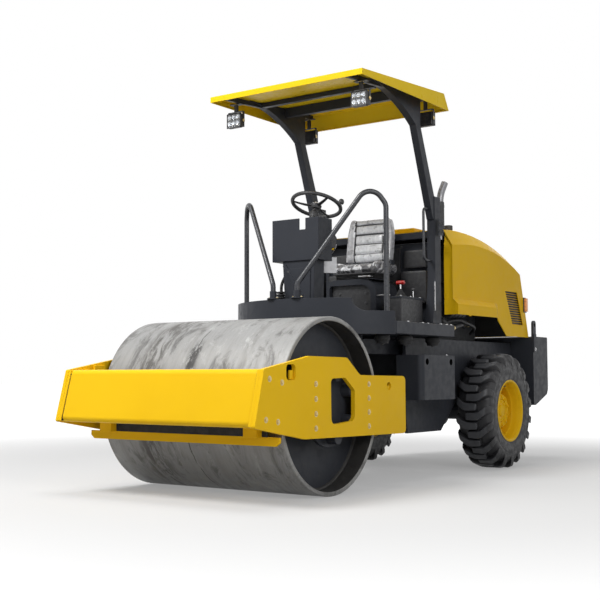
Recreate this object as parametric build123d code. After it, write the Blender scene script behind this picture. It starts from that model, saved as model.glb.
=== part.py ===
from build123d import *
from math import cos, radians, sin, sqrt
import os

# Single-drum articulated road roller, in millimetres.
# The origin is on the ground under the middle of the machine. +Z is up, +Y points to the engine end,
# so the drum leads towards -Y, and +X is the machine's left.

# ---- driving dimensions ----
drum_radius = 500.0
drum_width = 1284.0
drum_shell_wall = 25.0
drum_head_inset = 120.0
drum_y = -1233.0

frame_gap = 43.0
side_plate_thickness = 25.0
beam_wall = 12.0

drum_to_pivot_gap = 600.0
pivot_to_axle = 1226.0
pivot_z = 540.0
pivot_pin_radius = 30.0
fork_gap = 210.0
fork_plate = 25.0
swing_shaft_radius = 45.0
running_clearance = 0.1

tyre_radius = 415.0
tyre_width = 260.0
wheel_centre_x = 568.0
rim_radius = 208.0
wheel_boss_radius = rim_radius - 74
axle_tube_radius = 70.0
diff_radius = 150.0
hub_radius = 50.0

rail_x = 385.0
rail_thickness = 25.0
rail_top = 925.0
rail_belly = 285.0

deck_half_width = 610.0
deck_depth_of_arc = 340.0
deck_rear_from_pivot = 530.0
floor_z = 1010.0
floor_thickness = 80.0
skirt_wall = 12.0
skirt_height = 225.0
skirt_step = 80.0

post_x = 470.0
post_width = 60.0
post_depth = 85.0
post_height = 890.0
upper_post_width = 50.0
upper_post_depth = 70.0

roof_front_from_pivot = -660.0
roof_length = 1160.0
roof_half_width = 590.0
roof_underlip = 1482.0
roof_front_depth = 38.0
roof_rear_depth = 108.0
roof_sheet = 6.0

rail_tube_radius = 16.5
steering_wheel_radius = 162.0
steering_grip_radius = 13.0
steering_tilt = 21.6

hood_half_width = 540.0
hood_flare = 40.0
hood_top = 1697.0
hood_bottom = 1095.0
hood_wall = 5.0

counterweight_depth = 290.0
counterweight_half_width = 600.0
wheel_to_counterweight = 249.0

cylinder_pin_x = 200.0
cylinder_base_from_pivot = 330.0
cylinder_eye_from_pivot = -120.0
barrel_radius = 28.0
rod_radius = 15.0
cylinder_pin_radius = 15.0

lug_thickness = 15.0
lug_hole_radius = 16.0
lug_hole_z = 1066.0
tie_hole_radius = 24.0

seat_x = 20.0
seat_half_width = 210.0
seat_stand_height = 315.0
seat_suspension_height = 50.0
cushion_height = 70.0

roof_rail = 30.0
roof_rail_half = 12.0
stack_radius = 25.0
stack_x = 420.0

# ---- places worked out from them ----
drum_half = drum_width / 2
side_inner = drum_half + frame_gap
side_outer = side_inner + side_plate_thickness
crossmember_rear = drum_y + drum_radius + 225
pivot_y = drum_y + drum_radius + drum_to_pivot_gap
axle_y = pivot_y + pivot_to_axle
counterweight_y = axle_y + tyre_radius + wheel_to_counterweight
machine_rear = counterweight_y + counterweight_depth
hood_front = axle_y - 576
hood_rear = counterweight_y - 5
rail_rear_bottom = tyre_radius + axle_tube_radius + 2
deck_rear = pivot_y + deck_rear_from_pivot
deck_arc_radius = (deck_half_width**2 + deck_depth_of_arc**2) / (2 * deck_depth_of_arc)
deck_arc_y = pivot_y - 660 + deck_arc_radius
floor_bottom = floor_z - floor_thickness
roof_front = pivot_y + roof_front_from_pivot
roof_lip_z = floor_z + roof_underlip
post_front = deck_rear - post_depth - 1
web_y = pivot_y + cylinder_base_from_pivot + 50
tie_hole_y = drum_y + drum_radius + 23
tie_hole_z = drum_radius + 107
lug_hole_y = counterweight_y + 32
skirt_end_y = deck_arc_y - sqrt(deck_arc_radius**2 - deck_half_width**2) + 6
wheel_centre = (0, pivot_y - 270, floor_z + 786)
column_axis = (0, sin(radians(steering_tilt)), cos(radians(steering_tilt)))
seat_base_z = floor_z + seat_stand_height
cushion_base_z = seat_base_z + seat_suspension_height
stack_y = hood_front + 35

SIDES = (("left", 1), ("right", -1))


# ---- shapes used again and again ----
def block(x, y, z):
    """A box between (low, high) pairs."""
    size = Box(x[1] - x[0], y[1] - y[0], z[1] - z[0])
    return Pos((x[0] + x[1]) / 2, (y[0] + y[1]) / 2, (z[0] + z[1]) / 2) * size


def rounded(points, radii):
    """A closed outline through the points, each corner rounded by its radius."""
    return make_face(FilletPolyline(*points, radius=radii, close=True))


def across_x(face, x):
    """A face drawn in (y, z), pulled between two x places."""
    return Pos(x[0], 0, 0) * extrude(Plane.YZ * face, x[1] - x[0])


def across_y(face, y):
    """A face drawn in (x, z), pulled between two y places."""
    return Pos(0, y[1], 0) * extrude(Plane.XZ * face, y[1] - y[0])


def across_z(face, z):
    """A face drawn in (x, y), pulled between two z places."""
    return Pos(0, 0, z[0]) * extrude(face, z[1] - z[0])


def bar_x(radius, x, y, z):
    """A round bar along X between two x places."""
    return Pos((x[0] + x[1]) / 2, y, z) * Rot(0, 90, 0) * Cylinder(radius, x[1] - x[0])


def bar_y(radius, x, y, z):
    """A round bar along Y between two y places."""
    return Pos(x, (y[0] + y[1]) / 2, z) * Rot(90, 0, 0) * Cylinder(radius, y[1] - y[0])


def bar_z(radius, x, y, z):
    """A round bar along Z between two z places."""
    return Pos(x, y, (z[0] + z[1]) / 2) * Cylinder(radius, z[1] - z[0])


def bent_tube(points, bends, radius):
    """A round bar along straight runs joined by arcs."""
    path = FilletPolyline(*points, radius=bends)
    return sweep(Plane(origin=path @ 0, z_dir=path % 0) * Circle(radius), path)


def spun(outline, x, y, z):
    """An outline of (x, radius) points, turned about the line along X through (y, z)."""
    ring = revolve(Plane.XY * make_face(Polyline(*outline, close=True)), Axis.X, 360)
    return Pos(x, y, z) * ring


def mirrored(shape, side):
    """The left-hand shape, or its mirror image for the right-hand side."""
    return shape if side > 0 else mirror(shape, Plane.YZ)


def span(side, near, far):
    """The (low, high) x pair of a piece between two distances from the middle, on one side."""
    return (near, far) if side > 0 else (-far, -near)


# ---- front frame ----
def plate_outline():
    """Side plate of the drum frame, (y, z) from the drum's axle, with each corner's radius."""
    table = (
        # y, z, corner radius
        (-drum_radius - 234, 202, 12),
        (-319, 273, 60),
        (54, 270, 60),
        (193, 172, 60),
        (drum_radius + 222, 166, 30),
        (drum_radius + 225, -178, 30),
        (-369, -166, 60),
        (-drum_radius - 314, -92, 12),
    )
    points = [(drum_y + y, drum_radius + z) for y, z, _ in table]
    return rounded(points, [radius for _, _, radius in table])


def window_outline():
    """Window in the side plate that shows the drum's rubber mounts."""
    table = (
        # y, z, corner radius
        (-114, 152, 25),
        (36, 157, 12),
        (134, 87, 20),
        (134, -84, 40),
        (-110, -100, 35),
    )
    points = [(drum_y + y, drum_radius + z) for y, z, _ in table]
    return rounded(points, [radius for _, _, radius in table])


def side_plate(side):
    """Side plate with its window, its tie-down hole and the slot over the lifting lug."""
    x = span(side, side_inner, side_outer)
    through = span(side, side_inner - 1, side_outer + 1)
    plate = across_x(plate_outline(), x)
    plate -= across_x(window_outline(), through)
    plate -= bar_x(tie_hole_radius, through, tie_hole_y, tie_hole_z)
    slot_y = drum_y - drum_radius + 3
    slot_z = drum_radius + 187
    plate -= across_x(
        Pos(slot_y, slot_z) * RectangleRounded(84, 82, 22), through)
    return plate


def box_section(points, radii, x, wall):
    """A tube of the given outline along X, open at its ends."""
    outer = rounded(points, radii)
    return across_x(outer - offset(outer, -wall, kind=Kind.INTERSECTION), x)


def front_beam():
    """Hollow beam across the front; its face leans back."""
    front_top = (drum_y - drum_radius - 234, drum_radius + 202)
    front_low = (drum_y - drum_radius - 314, drum_radius - 92)
    rear = drum_y - drum_radius - 60
    points = [front_top, (rear, drum_radius + 202), (rear, drum_radius - 100),
              (rear - 80, drum_radius - 100), front_low]
    return box_section(points, [14, 10, 10, 10, 14], (-side_inner, side_inner), beam_wall)


def scraper():
    """Scraper bar under the front beam, its brackets and its blade."""
    half = side_inner - 7
    height = (drum_radius - 197, drum_radius - 150)
    y = drum_y - drum_radius
    ends = [(-half + 25, height[0]), (half - 25, height[0]), (half, height[0] + 20), (half, height[1]),
            (-half, height[1]), (-half, height[0] + 20)]
    bar = across_y(make_face(Polyline(*ends, close=True)), (y - 56, y - 40))
    blade_z = drum_radius - 165
    blade_y = drum_y - sqrt(drum_radius**2 - 165**2) - 10
    bar += block((-drum_half + 10, drum_half - 10), (y - 41, blade_y), (blade_z - 6, blade_z + 6))
    for x in (-520, 520):
        bar += block((x - 45, x + 45), (y - 100, y - 42), (height[1] - 3, drum_radius - 100))
    return bar


def rear_crossmember():
    """Hollow cross beam behind the drum, with the bearing block that the swing shaft turns in."""
    front = drum_y + drum_radius + 55
    low = drum_radius - 178
    high = drum_radius + 160
    points = [(front, low), (crossmember_rear, low), (crossmember_rear, high), (front, high)]
    beam = box_section(points, [12] * 4, (-side_inner, side_inner), beam_wall)
    bearing = block((-120, 120), (crossmember_rear, pivot_y - 200), (pivot_z - 120, pivot_z + 120))
    bore = bar_y(swing_shaft_radius + running_clearance, 0, (crossmember_rear, pivot_y - 199), pivot_z)
    return beam + (bearing - bore)


def mount_carriers():
    """Rubber-mounted carriers that hold the drum's ends: one solid on each side."""
    carriers = []
    for _, side in SIDES:
        plate_x = (drum_half - 42, drum_half - 17)
        carrier = bar_x(230, plate_x, drum_y, drum_radius)
        carrier += bar_x(100, (drum_half - 112, drum_half - 42), drum_y, drum_radius)
        carrier += bar_x(60, (drum_half - 172, drum_half - 112), drum_y, drum_radius)
        for turn in range(6):
            y = drum_y + 175 * cos(radians(60 * turn + 30))
            z = drum_radius + 175 * sin(radians(60 * turn + 30))
            carrier += bar_x(38, (drum_half - 17, side_inner), y, z)
        carriers.append(mirrored(carrier, side))
    return Compound(children=carriers)


# ---- drum ----
def drum_shell():
    """Rolled steel shell."""
    return bar_x(drum_radius, (-drum_half, drum_half), drum_y, drum_radius) - bar_x(
        drum_radius - drum_shell_wall, (-drum_half - 1, drum_half + 1), drum_y, drum_radius)


def drum_heads():
    """Both drum heads on the exciter housing, bored for the carriers' stubs."""
    face = drum_half - drum_head_inset
    inner = drum_radius - drum_shell_wall
    spool = bar_x(110, (-face, face), drum_y, drum_radius)
    for _, side in SIDES:
        spool += bar_x(inner, span(side, face - 20, face), drum_y, drum_radius)
    for _, side in SIDES:
        spool -= bar_x(60 + running_clearance, span(side, face - 60, face + 1), drum_y, drum_radius)
    return spool


# ---- centre joint and steering cylinders ----
def centre_block():
    """Block between the two frames: it turns on the pivot pin and carries the swing shaft."""
    half_hub = fork_gap / 2 - 10
    hub = bar_z(85, 0, pivot_y, (pivot_z - half_hub, pivot_z + half_hub))
    hub += block((-75, 75), (pivot_y - 180, pivot_y), (pivot_z - 75, pivot_z + 75))
    for _, side in SIDES:
        for low in (pivot_z - 50, pivot_z + 35):
            eye = (side * cylinder_pin_x, pivot_y + cylinder_eye_from_pivot)
            ear = bar_z(35, eye[0], eye[1], (low, low + 15))
            ear += block(span(side, 60, cylinder_pin_x), (eye[1] - 35, eye[1] + 35), (low, low + 15))
            hub += ear
    hub -= bar_z(pivot_pin_radius + running_clearance, 0, pivot_y, (pivot_z - 110, pivot_z + 110))
    shaft = (crossmember_rear + 10, pivot_y - 180)
    return hub + bar_y(swing_shaft_radius, 0, shaft, pivot_z)


def steering_barrel(side):
    """Steering cylinder's barrel with its base eye, bored for the pin on the frame."""
    x = side * cylinder_pin_x
    base = pivot_y + cylinder_base_from_pivot
    eye = bar_z(30, x, base, (pivot_z - 25, pivot_z + 25))
    tube = bar_y(barrel_radius, x, (base - 295, base - 20), pivot_z)
    bore = bar_y(rod_radius + 2, x, (base - 296, base - 45), pivot_z)
    pin_hole = bar_z(cylinder_pin_radius + running_clearance, x, base, (pivot_z - 30, pivot_z + 30))
    return eye + tube - bore - pin_hole


def steering_rod(side):
    """Steering cylinder's rod, with its eye and the pin it carries."""
    x = side * cylinder_pin_x
    eye_y = pivot_y + cylinder_eye_from_pivot
    rod = bar_y(rod_radius, x, (eye_y, eye_y + 285), pivot_z)
    return rod + bar_z(28, x, eye_y, (pivot_z - 25, pivot_z + 25))


# ---- rear frame ----
def frame_rails():
    """The two side plates of the rear frame."""
    front = pivot_y + 180
    points = [(front + 20, rail_belly), (axle_y - 546, rail_belly), (axle_y - 306, rail_rear_bottom),
              (counterweight_y, rail_rear_bottom), (counterweight_y, rail_top), (front, rail_top),
              (front, rail_belly + 115)]
    face = make_face(Polyline(*points, close=True))
    return Compound(children=[across_x(face, span(side, rail_x, rail_x + rail_thickness))
                              for _, side in SIDES])


def hinge_fork():
    """Fork of the centre joint with its pivot pin, the web behind it and the cylinder brackets."""
    nose = 105
    half = fork_gap / 2
    fork = block((-rail_x, rail_x), (web_y, web_y + 20), (rail_belly + 15, rail_top - 25))
    outline = [(-rail_x, web_y), (-rail_x, pivot_y + 190), (-nose, pivot_y - 10), (nose, pivot_y - 10),
               (rail_x, pivot_y + 190), (rail_x, web_y)]
    plan = make_face(Polyline(*outline, close=True)) + Pos(0, pivot_y) * Circle(nose)
    for low in (pivot_z - half - fork_plate, pivot_z + half):
        fork += across_z(plan, (low, low + fork_plate))
    fork += bar_z(pivot_pin_radius, 0, pivot_y, (pivot_z - half - fork_plate, pivot_z + half + fork_plate))
    fork += bar_z(55, 0, pivot_y, (pivot_z + half + fork_plate, pivot_z + half + fork_plate + 15))
    base = pivot_y + cylinder_base_from_pivot
    for _, side in SIDES:
        x = side * cylinder_pin_x
        for low in (pivot_z - 50, pivot_z + 35):
            fork += block((x - 32, x + 32), (base, web_y), (low, low + 15))
            fork += bar_z(32, x, base, (low, low + 15))
        fork += bar_z(cylinder_pin_radius, x, base, (pivot_z - 60, pivot_z + 60))
    return fork


def rear_axle():
    """Axle beam with its differential, the saddles under the rails and the hub stubs."""
    z = tyre_radius
    beam = bar_x(axle_tube_radius, (-rail_x - 25, rail_x + 25), axle_y, z)
    beam += bar_x(diff_radius, (-85, 85), axle_y, z)
    beam += bar_x(115, (-150, 150), axle_y, z)
    disc_x = wheel_centre_x - 48
    for _, side in SIDES:
        beam += block(span(side, rail_x, rail_x + rail_thickness), (axle_y - 80, axle_y + 80),
                      (z, rail_rear_bottom))
        beam += bar_x(90, span(side, rail_x + 25, rail_x + 43), axle_y, z)
        beam += bar_x(hub_radius, span(side, rail_x + 43, disc_x + 25), axle_y, z)
    return beam


def engine():
    """Engine and pump set, on four arms between the rails."""
    front = axle_y - 470
    rear = axle_y + 370
    sump_z = tyre_radius + diff_radius + 55
    body = block((-250, 250), (front, rear), (sump_z, 1130))
    body += block((-150, 150), (front + 90, rear - 120), (1130, 1380))
    for y in (front + 120, rear - 180):
        body += block((-rail_x, rail_x), (y, y + 60), (sump_z + 80, sump_z + 140))
    return body


def bulkhead():
    """Dark panel between the seat and the engine."""
    y = deck_rear + 20
    return block((-430, 430), (y, y + 40), (rail_top, 1600))


def counterweight():
    """Counterweight across the tail, with a lifting lug on each side."""
    y = counterweight_y
    points = [(y, 440), (y + 37, 440), (y + 267, 522), (machine_rear, 560), (machine_rear, 975), (y, 975)]
    weight = across_x(rounded(points, [2, 12, 30, 20, 14, 14]),
                      (-counterweight_half_width, counterweight_half_width))
    lug = rounded([(y + 2, 960), (y + 62, 960), (y + 62, 1100), (y + 2, 1100)], [1, 1, 28, 28])
    for _, side in SIDES:
        x = span(side, counterweight_half_width - lug_thickness, counterweight_half_width)
        weight += across_x(lug, x)
        weight -= bar_x(lug_hole_radius, (x[0] - 5, x[1] + 5), lug_hole_y, lug_hole_z)
    return weight


def side_tanks():
    """Fuel and oil tanks hung on the outside of the rails."""
    tanks = []
    for _, side in SIDES:
        x = span(side, rail_x + rail_thickness, 600)
        front = pivot_y + 49
        rear = deck_rear - 5
        outer = 600 * side
        inner = (rail_x + rail_thickness) * side
        plan = rounded([(inner, front), (outer, front), (outer, rear), (inner, rear)], [4, 40, 10, 4])
        tank = across_z(plan, (510, 805))
        tanks.append(tank)
    return Compound(children=tanks)


# ---- operator's deck ----
def deck_plan(radius):
    """Half-round front edge of the deck's plan, cut at its sides, back to the deck's rear edge."""
    half = min(deck_half_width, radius - 1)
    disc = Pos(0, deck_arc_y) * Circle(radius)
    front = disc & Pos(0, deck_arc_y - radius) * Rectangle(2 * half, 2 * radius)
    corner_y = deck_arc_y - sqrt(radius**2 - half**2)
    length = deck_rear - corner_y
    return (front & Pos(0, corner_y - radius) * Rectangle(2 * radius, 2 * radius)) + Pos(
        0, corner_y + length / 2) * Rectangle(2 * half, length)


def deck_floor():
    """Floor plate of the deck, thick enough to show as the side curb."""
    floor = across_z(deck_plan(deck_arc_radius - skirt_wall), (floor_bottom, floor_z))
    corners = [edge for edge in floor.edges().filter_by(Axis.Z) if edge.center().Y > deck_rear - 1]
    return fillet(corners, 40)


def deck_skirt():
    """Curved guard round the front of the deck, stepped down on the left, with a flange for the rails."""
    low = floor_bottom - 5
    high = low + skirt_height
    ring = deck_plan(deck_arc_radius) - deck_plan(deck_arc_radius - skirt_wall)
    side_cut = Pos(0, deck_rear) * Rectangle(4 * deck_half_width, 2 * (deck_rear - skirt_end_y))
    skirt = across_z(ring - side_cut, (low, high))
    flange = deck_plan(deck_arc_radius - skirt_wall) - deck_plan(deck_arc_radius - 70)
    flange &= Pos(0, deck_arc_y - deck_arc_radius) * Rectangle(760, 400)
    skirt += across_z(flange, (high - 8, high))
    step_x = 495
    step = block((step_x - 75, 700), (deck_arc_y - 900, deck_rear), (high - 5, high + 50))
    step += block((step_x, 700), (deck_arc_y - 900, deck_rear), (high - skirt_step, high + 50))
    step += bar_y(75, step_x, (deck_arc_y - 900, deck_rear), high - skirt_step + 75)
    return skirt - step


def deck_beams():
    """Beams that carry the deck forward of the web, with its rubber mounts."""
    beams = []
    for _, side in SIDES:
        beam = block(span(side, 250, 330), (pivot_y - 300, web_y), (810, floor_bottom - 25))
        for y in (pivot_y - 240, web_y - 60):
            beam += bar_z(34, side * 290, y, (floor_bottom - 25, floor_bottom))
        beams.append(beam)
    return Compound(children=beams)


def roof_under(y):
    """Height of the roof sheet's underside at a place along the machine."""
    rise = (roof_rear_depth - roof_front_depth) / (roof_length - 70)
    return roof_lip_z + roof_front_depth - roof_sheet - 1 + rise * (y - roof_front)


def post(side):
    """Roll-over post: foot, upright, leaning upper tube, curved gusset and the rail under the roof."""
    x = span(side, post_x - post_width / 2, post_x + post_width / 2)
    slim = span(side, post_x - upper_post_width / 2, post_x + upper_post_width / 2)
    rear = post_front + post_depth
    upright = block(x, (post_front, rear), (floor_z, floor_z + post_height))
    foot_outline = [(post_front - 45, floor_z), (rear, floor_z), (rear, floor_z + 300),
                    (post_front, floor_z + 300)]
    upright += across_x(make_face(Polyline(*foot_outline, close=True)), x)
    base_z = floor_z + 730
    lean_z = floor_z + 1354
    lean_y = leaning_front(lean_z)
    leaning = [(leaning_front(base_z), base_z), (leaning_front(base_z) + upper_post_depth + 20, base_z),
               (lean_y + upper_post_depth, lean_z), (lean_y, lean_z)]
    upright += across_x(make_face(Polyline(*leaning, close=True)), slim)
    tip_y = lean_y - 590
    head_y = lean_y + upper_post_depth + 6
    root = (leaning_front(lean_z - 15) + 4, lean_z - 15)
    hollow = ((tip_y + root[0]) / 2, (roof_under(tip_y) + root[1]) / 2 + 46)
    edge = ThreePointArc((tip_y, roof_under(tip_y)), hollow, root)
    back = Polyline(root, (lean_y + upper_post_depth, root[1]), (lean_y + upper_post_depth, lean_z),
                    (head_y, roof_under(head_y)), (tip_y, roof_under(tip_y)))
    upright += across_x(make_face(edge + back), slim)
    rail_y = (roof_front + 20, roof_front + roof_length - 110)
    drops = (0, 0, roof_rail, roof_rail)
    rail = [(y, roof_under(y) - drop) for y, drop in zip(rail_y + rail_y[::-1], drops)]
    rail_x = span(side, post_x - roof_rail_half, post_x + roof_rail_half)
    return upright + across_x(make_face(Polyline(*rail, close=True)), rail_x)


def cross_members():
    """Bars across the machine: one between the uprights and two under the roof."""
    crossbar_y = post_front + 30
    bars = [block((-post_x + post_width / 2, post_x - post_width / 2), (crossbar_y, crossbar_y + 50),
                  (1620, 1665))]
    half = post_x - upper_post_width / 2
    table = (
        # y from the roof's front, depth below the sheet
        (383, 32),
        (663, 66),
    )
    for offset_y, drop in table:
        y = roof_front + offset_y
        bars.append(block((-half, half), (y, y + 40), (roof_under(y) - drop, roof_under(y))))
    return Compound(children=bars)


def canopy():
    """Pressed roof: a sloping sheet with a skirt on all four sides."""
    top_rear = roof_front + roof_length - 70
    points = [(roof_front, roof_lip_z), (roof_front, roof_lip_z + roof_front_depth),
              (top_rear, roof_lip_z + roof_rear_depth), (roof_front + roof_length, roof_lip_z)]
    face = make_face(Polyline(*points, close=True))
    outer = across_x(face, (-roof_half_width, roof_half_width))
    inner = across_x(offset(face, -roof_sheet, kind=Kind.INTERSECTION),
                     (-roof_half_width + roof_sheet, roof_half_width - roof_sheet))
    return outer - inner - Pos(0, 0, -2 * roof_sheet) * inner


def work_lamps():
    """Four work lamps hung from the roof's rails."""
    table = (
        # x, y from the roof's front, bottom above the floor
        (490, 123, 1322),
        (-490, 123, 1322),
        (480, 1000, 1366),
        (-480, 1000, 1366),
    )
    lamps = []
    for x, offset_y, lift in table:
        y = roof_front + offset_y
        z = floor_z + lift
        lamp = block((x - 62, x + 62), (y + 2, y + 57), (z, z + 100))
        lamp += block((x - 20, x + 20), (y + 20, y + 40), (z + 100, roof_under(y + 20) - roof_rail))
        lamps.append(lamp)
    return Compound(children=lamps)


def handrail(side):
    """Hand rail beside the step: an upright at the deck's corner and a leg that slopes to the front."""
    outer = (side * (deck_half_width - 62), pivot_y - 310)
    inner = (side * 93, deck_arc_y - sqrt((deck_arc_radius - 20) ** 2 - 93**2))
    top = (side * (deck_half_width - 131), pivot_y - 387, floor_z + 872)
    points = [(outer[0], outer[1], floor_z), (outer[0], outer[1], floor_z + 735), top,
              (inner[0], inner[1], floor_z + 235), (inner[0], inner[1], floor_bottom + 220)]
    return bent_tube(points, [70, 84, 60], rail_tube_radius)


def leaning_front(z):
    """Place of the leaning upper tube's front face at a height."""
    return post_front - 15 - 238 * (z - floor_z - 730) / 624


def grab_handle():
    """Grab handle on the front of the left upright."""
    low = floor_z + 445
    high = floor_z + 800
    reach = post_front - 107
    grip_radius = 9
    points = [(post_x, post_front, low), (post_x, reach, low), (post_x, reach, high),
              (post_x, leaning_front(high + grip_radius), high)]
    return bent_tube(points, [35, 30], grip_radius)


def console():
    """Console box, open at the back and notched at the top, on its pedestal."""
    y = pivot_y - 522
    wall = 8
    outer = block((-180, 180), (y, y + 160), (floor_z + 393, floor_z + 665))
    inner = block((-180 + wall, 180 - wall), (y + wall, y + 161), (floor_z + 393 + wall, floor_z + 666))
    box = outer - inner
    box -= block((32, 78), (y - 1, y + wall + 1), (floor_z + 592, floor_z + 670))
    foot = [(-82, floor_z), (132, floor_z), (138, floor_z + 393), (-106, floor_z + 393)]
    return box + across_y(make_face(Polyline(*foot, close=True)), (y + 12, y + 130))


def along_column(distance):
    """A point on the steering column's axis, below the wheel by the distance."""
    return tuple(c - distance * a for c, a in zip(wheel_centre, column_axis))


def steering_column():
    """Column that leans towards the seat, from the console's floor to the wheel."""
    column = Plane(origin=along_column(405), z_dir=column_axis) * Pos(0, 0, 190) * Cylinder(26, 380)
    floor = block((-200, 200), (pivot_y - 600, pivot_y - 100), (floor_z, floor_z + 401))
    return column - floor


def instrument_panel():
    """Instrument housing behind the console, with room for the column."""
    y = pivot_y - 362
    points = [(y + 2, floor_z + 490), (y + 90, floor_z + 490), (y + 112, floor_z + 600),
              (y + 60, floor_z + 680), (y + 2, floor_z + 680)]
    housing = across_x(make_face(Polyline(*points, close=True)), (-115, 145))
    passage = Plane(origin=along_column(405), z_dir=column_axis) * Pos(0, 0, 250) * Cylinder(28, 600)
    return housing - passage


def steering_wheel():
    """Steering wheel with three spokes, a hub and a spinner knob."""
    rim = Torus(steering_wheel_radius, steering_grip_radius)
    wheel = rim + Pos(0, 0, -2) * Cylinder(34, 30)
    for turn in (90, 210, 330):
        spoke = Pos(steering_wheel_radius / 2, 0, -4) * Box(steering_wheel_radius, 22, 8)
        wheel += Rot(0, 0, turn) * spoke
    wheel += Rot(0, 0, 20) * Pos(steering_wheel_radius, 0, 33) * Cylinder(19, 50)
    return Plane(origin=wheel_centre, x_dir=(1, 0, 0), z_dir=column_axis) * wheel


def seat_pedestal():
    """Arched plate stand under the seat."""
    y = (pivot_y + 150, deck_rear - 80)
    under = seat_base_z - 35
    outer = rounded([(-190, floor_z), (200, floor_z), (200, seat_base_z), (-190, seat_base_z)],
                    [1, 1, 90, 30])
    inner = rounded([(-170, floor_z), (160, floor_z), (160, under), (-170, under)], [1, 1, 70, 20])
    return across_y(outer - inner, y)


def seat_suspension():
    """Low suspension box between the stand and the seat."""
    return block((seat_x - 160, seat_x + 160), (pivot_y + 160, pivot_y + 420), (seat_base_z, cushion_base_z))


def seat_cushion():
    """Seat cushion."""
    plan = RectangleRounded(2 * seat_half_width, 320, 50)
    return Pos(seat_x, pivot_y + 303, cushion_base_z) * extrude(plan, cushion_height)


def seat_backrest():
    """Seat backrest, leaning back a little."""
    height = 340
    face = RectangleRounded(2 * seat_half_width - 20, height, 60)
    slab = Pos(0, 0, -35) * extrude(face, 70)
    middle_z = cushion_base_z + cushion_height + height / 2 + 6
    return Pos(seat_x, pivot_y + 400, middle_z) * Rot(-8, 0, 0) * Rot(90, 0, 0) * slab


def control_box():
    """Lever box at the driver's left, with one lever."""
    box = block((310, 435), (pivot_y + 80, pivot_y + 380), (floor_z, floor_z + 185))
    box += bar_z(6, 375, pivot_y + 180, (floor_z + 185, floor_z + 275))
    return box + bar_z(15, 375, pivot_y + 180, (floor_z + 272, floor_z + 301))


# ---- hood ----
def hood_profile():
    """Side view of the hood: arched top, sloping tail, and a skirt that drops behind the wheel."""
    shoulder = (hood_rear - 150, hood_top - 235)
    crown = ThreePointArc((hood_front, hood_top), (hood_front + 580, hood_top - 42), shoulder)
    rest = Polyline(shoulder, (hood_rear, hood_bottom - 128), (axle_y + 254, hood_bottom - 128),
                    (axle_y + 98, hood_bottom), (hood_front, hood_bottom), (hood_front, hood_top))
    return make_face(crown + rest)


def hood_form(face, half):
    """Hood shape of the given side view and half width, its top edges bevelled."""
    form = across_x(face, (-half, half))
    edges = [edge for edge in form.edges()
             if abs(abs(edge.center().X) - half) < 1 and edge.geom_type == GeomType.CIRCLE]
    return chamfer(edges, 62)


def hood_shell():
    """Hollow hood with a flared lower edge, a raised hatch and an open front."""
    outer = hood_form(hood_profile(), hood_half_width)
    flare_z = hood_bottom + 100
    flare = [(hood_half_width - 3, hood_bottom), (hood_half_width + hood_flare, hood_bottom),
             (hood_half_width + hood_flare, flare_z - 35), (hood_half_width - 3, flare_z)]
    for _, side in SIDES:
        strip = across_y(make_face(Polyline(*flare, close=True)), (hood_front, axle_y + 80))
        outer += mirrored(strip, side)
    inner_face = offset(hood_profile(), -hood_wall, kind=Kind.INTERSECTION)
    inner = hood_form(inner_face, hood_half_width - hood_wall)
    shell = outer - inner - Pos(0, 0, -3 * hood_wall) * inner
    shell -= block((-430, 430), (hood_front - 1, hood_front + 2 * hood_wall), (hood_bottom - 50, 1600))
    shell += block((-150, 170), (hood_front + 110, hood_front + 430), (hood_top - 22, hood_top + 48))
    shell -= block((-145, 165), (hood_front + 115, hood_front + 425), (hood_top - 40, hood_top + 43))
    return shell - bar_z(stack_radius + 2, stack_x, stack_y, (hood_top - 80, hood_top + 60))


def exhaust_stack():
    """Exhaust pipe that rises from the hood and bends outwards at its top."""
    points = [(stack_x, stack_y, hood_top - 70), (stack_x, stack_y, hood_top + 250),
              (stack_x + 20, stack_y + 45, hood_top + 340)]
    return bent_tube(points, [90], stack_radius)


def tail_lamps():
    """Amber lamps on the hood's rear corners."""
    lamps = []
    y = hood_rear - 92
    for _, side in SIDES:
        x = span(side, hood_half_width, hood_half_width + 18)
        lamps.append(block(x, (y, y + 40), (1165, 1270)))
    return Compound(children=lamps)


# ---- rear wheels ----
def tyre(side):
    """Tyre: flat tread, round shoulders and sidewalls down to the rim."""
    half = tyre_width / 2
    bead = half - 14
    outline = [(-bead, rim_radius), (bead, rim_radius), (bead, rim_radius + 22), (half, rim_radius + 75),
               (half, tyre_radius - 75), (half - 20, tyre_radius - 12), (half - 34, tyre_radius),
               (-half + 34, tyre_radius), (-half + 20, tyre_radius - 12), (-half, tyre_radius - 75),
               (-half, rim_radius + 75), (-bead, rim_radius + 22)]
    return spun(outline, side * wheel_centre_x, axle_y, tyre_radius)


def rim(side):
    """Deep-dish rim: barrel with two flanges, and a disc bored for the hub."""
    half = tyre_width / 2 - 14
    barrel = [(-half, rim_radius - 12), (half, rim_radius - 12), (half, rim_radius),
              (-half, rim_radius)]
    wheel = spun(barrel, 0, 0, 0)
    for x in (-half - 8, half):
        wheel += bar_x(rim_radius + 17, (x, x + 8), 0, 0) - bar_x(rim_radius - 12, (x - 1, x + 9), 0, 0)
    disc = bar_x(rim_radius - 12, (-48, -33), 0, 0)
    boss = bar_x(wheel_boss_radius, (-34, 55), 0, 0) - bar_x(wheel_boss_radius - 14, (-35, 45), 0, 0)
    wheel += disc + boss
    wheel -= bar_x(hub_radius + running_clearance, (-50, -30), 0, 0)
    return Pos(side * wheel_centre_x, axle_y, tyre_radius) * mirrored(wheel, side)


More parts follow.
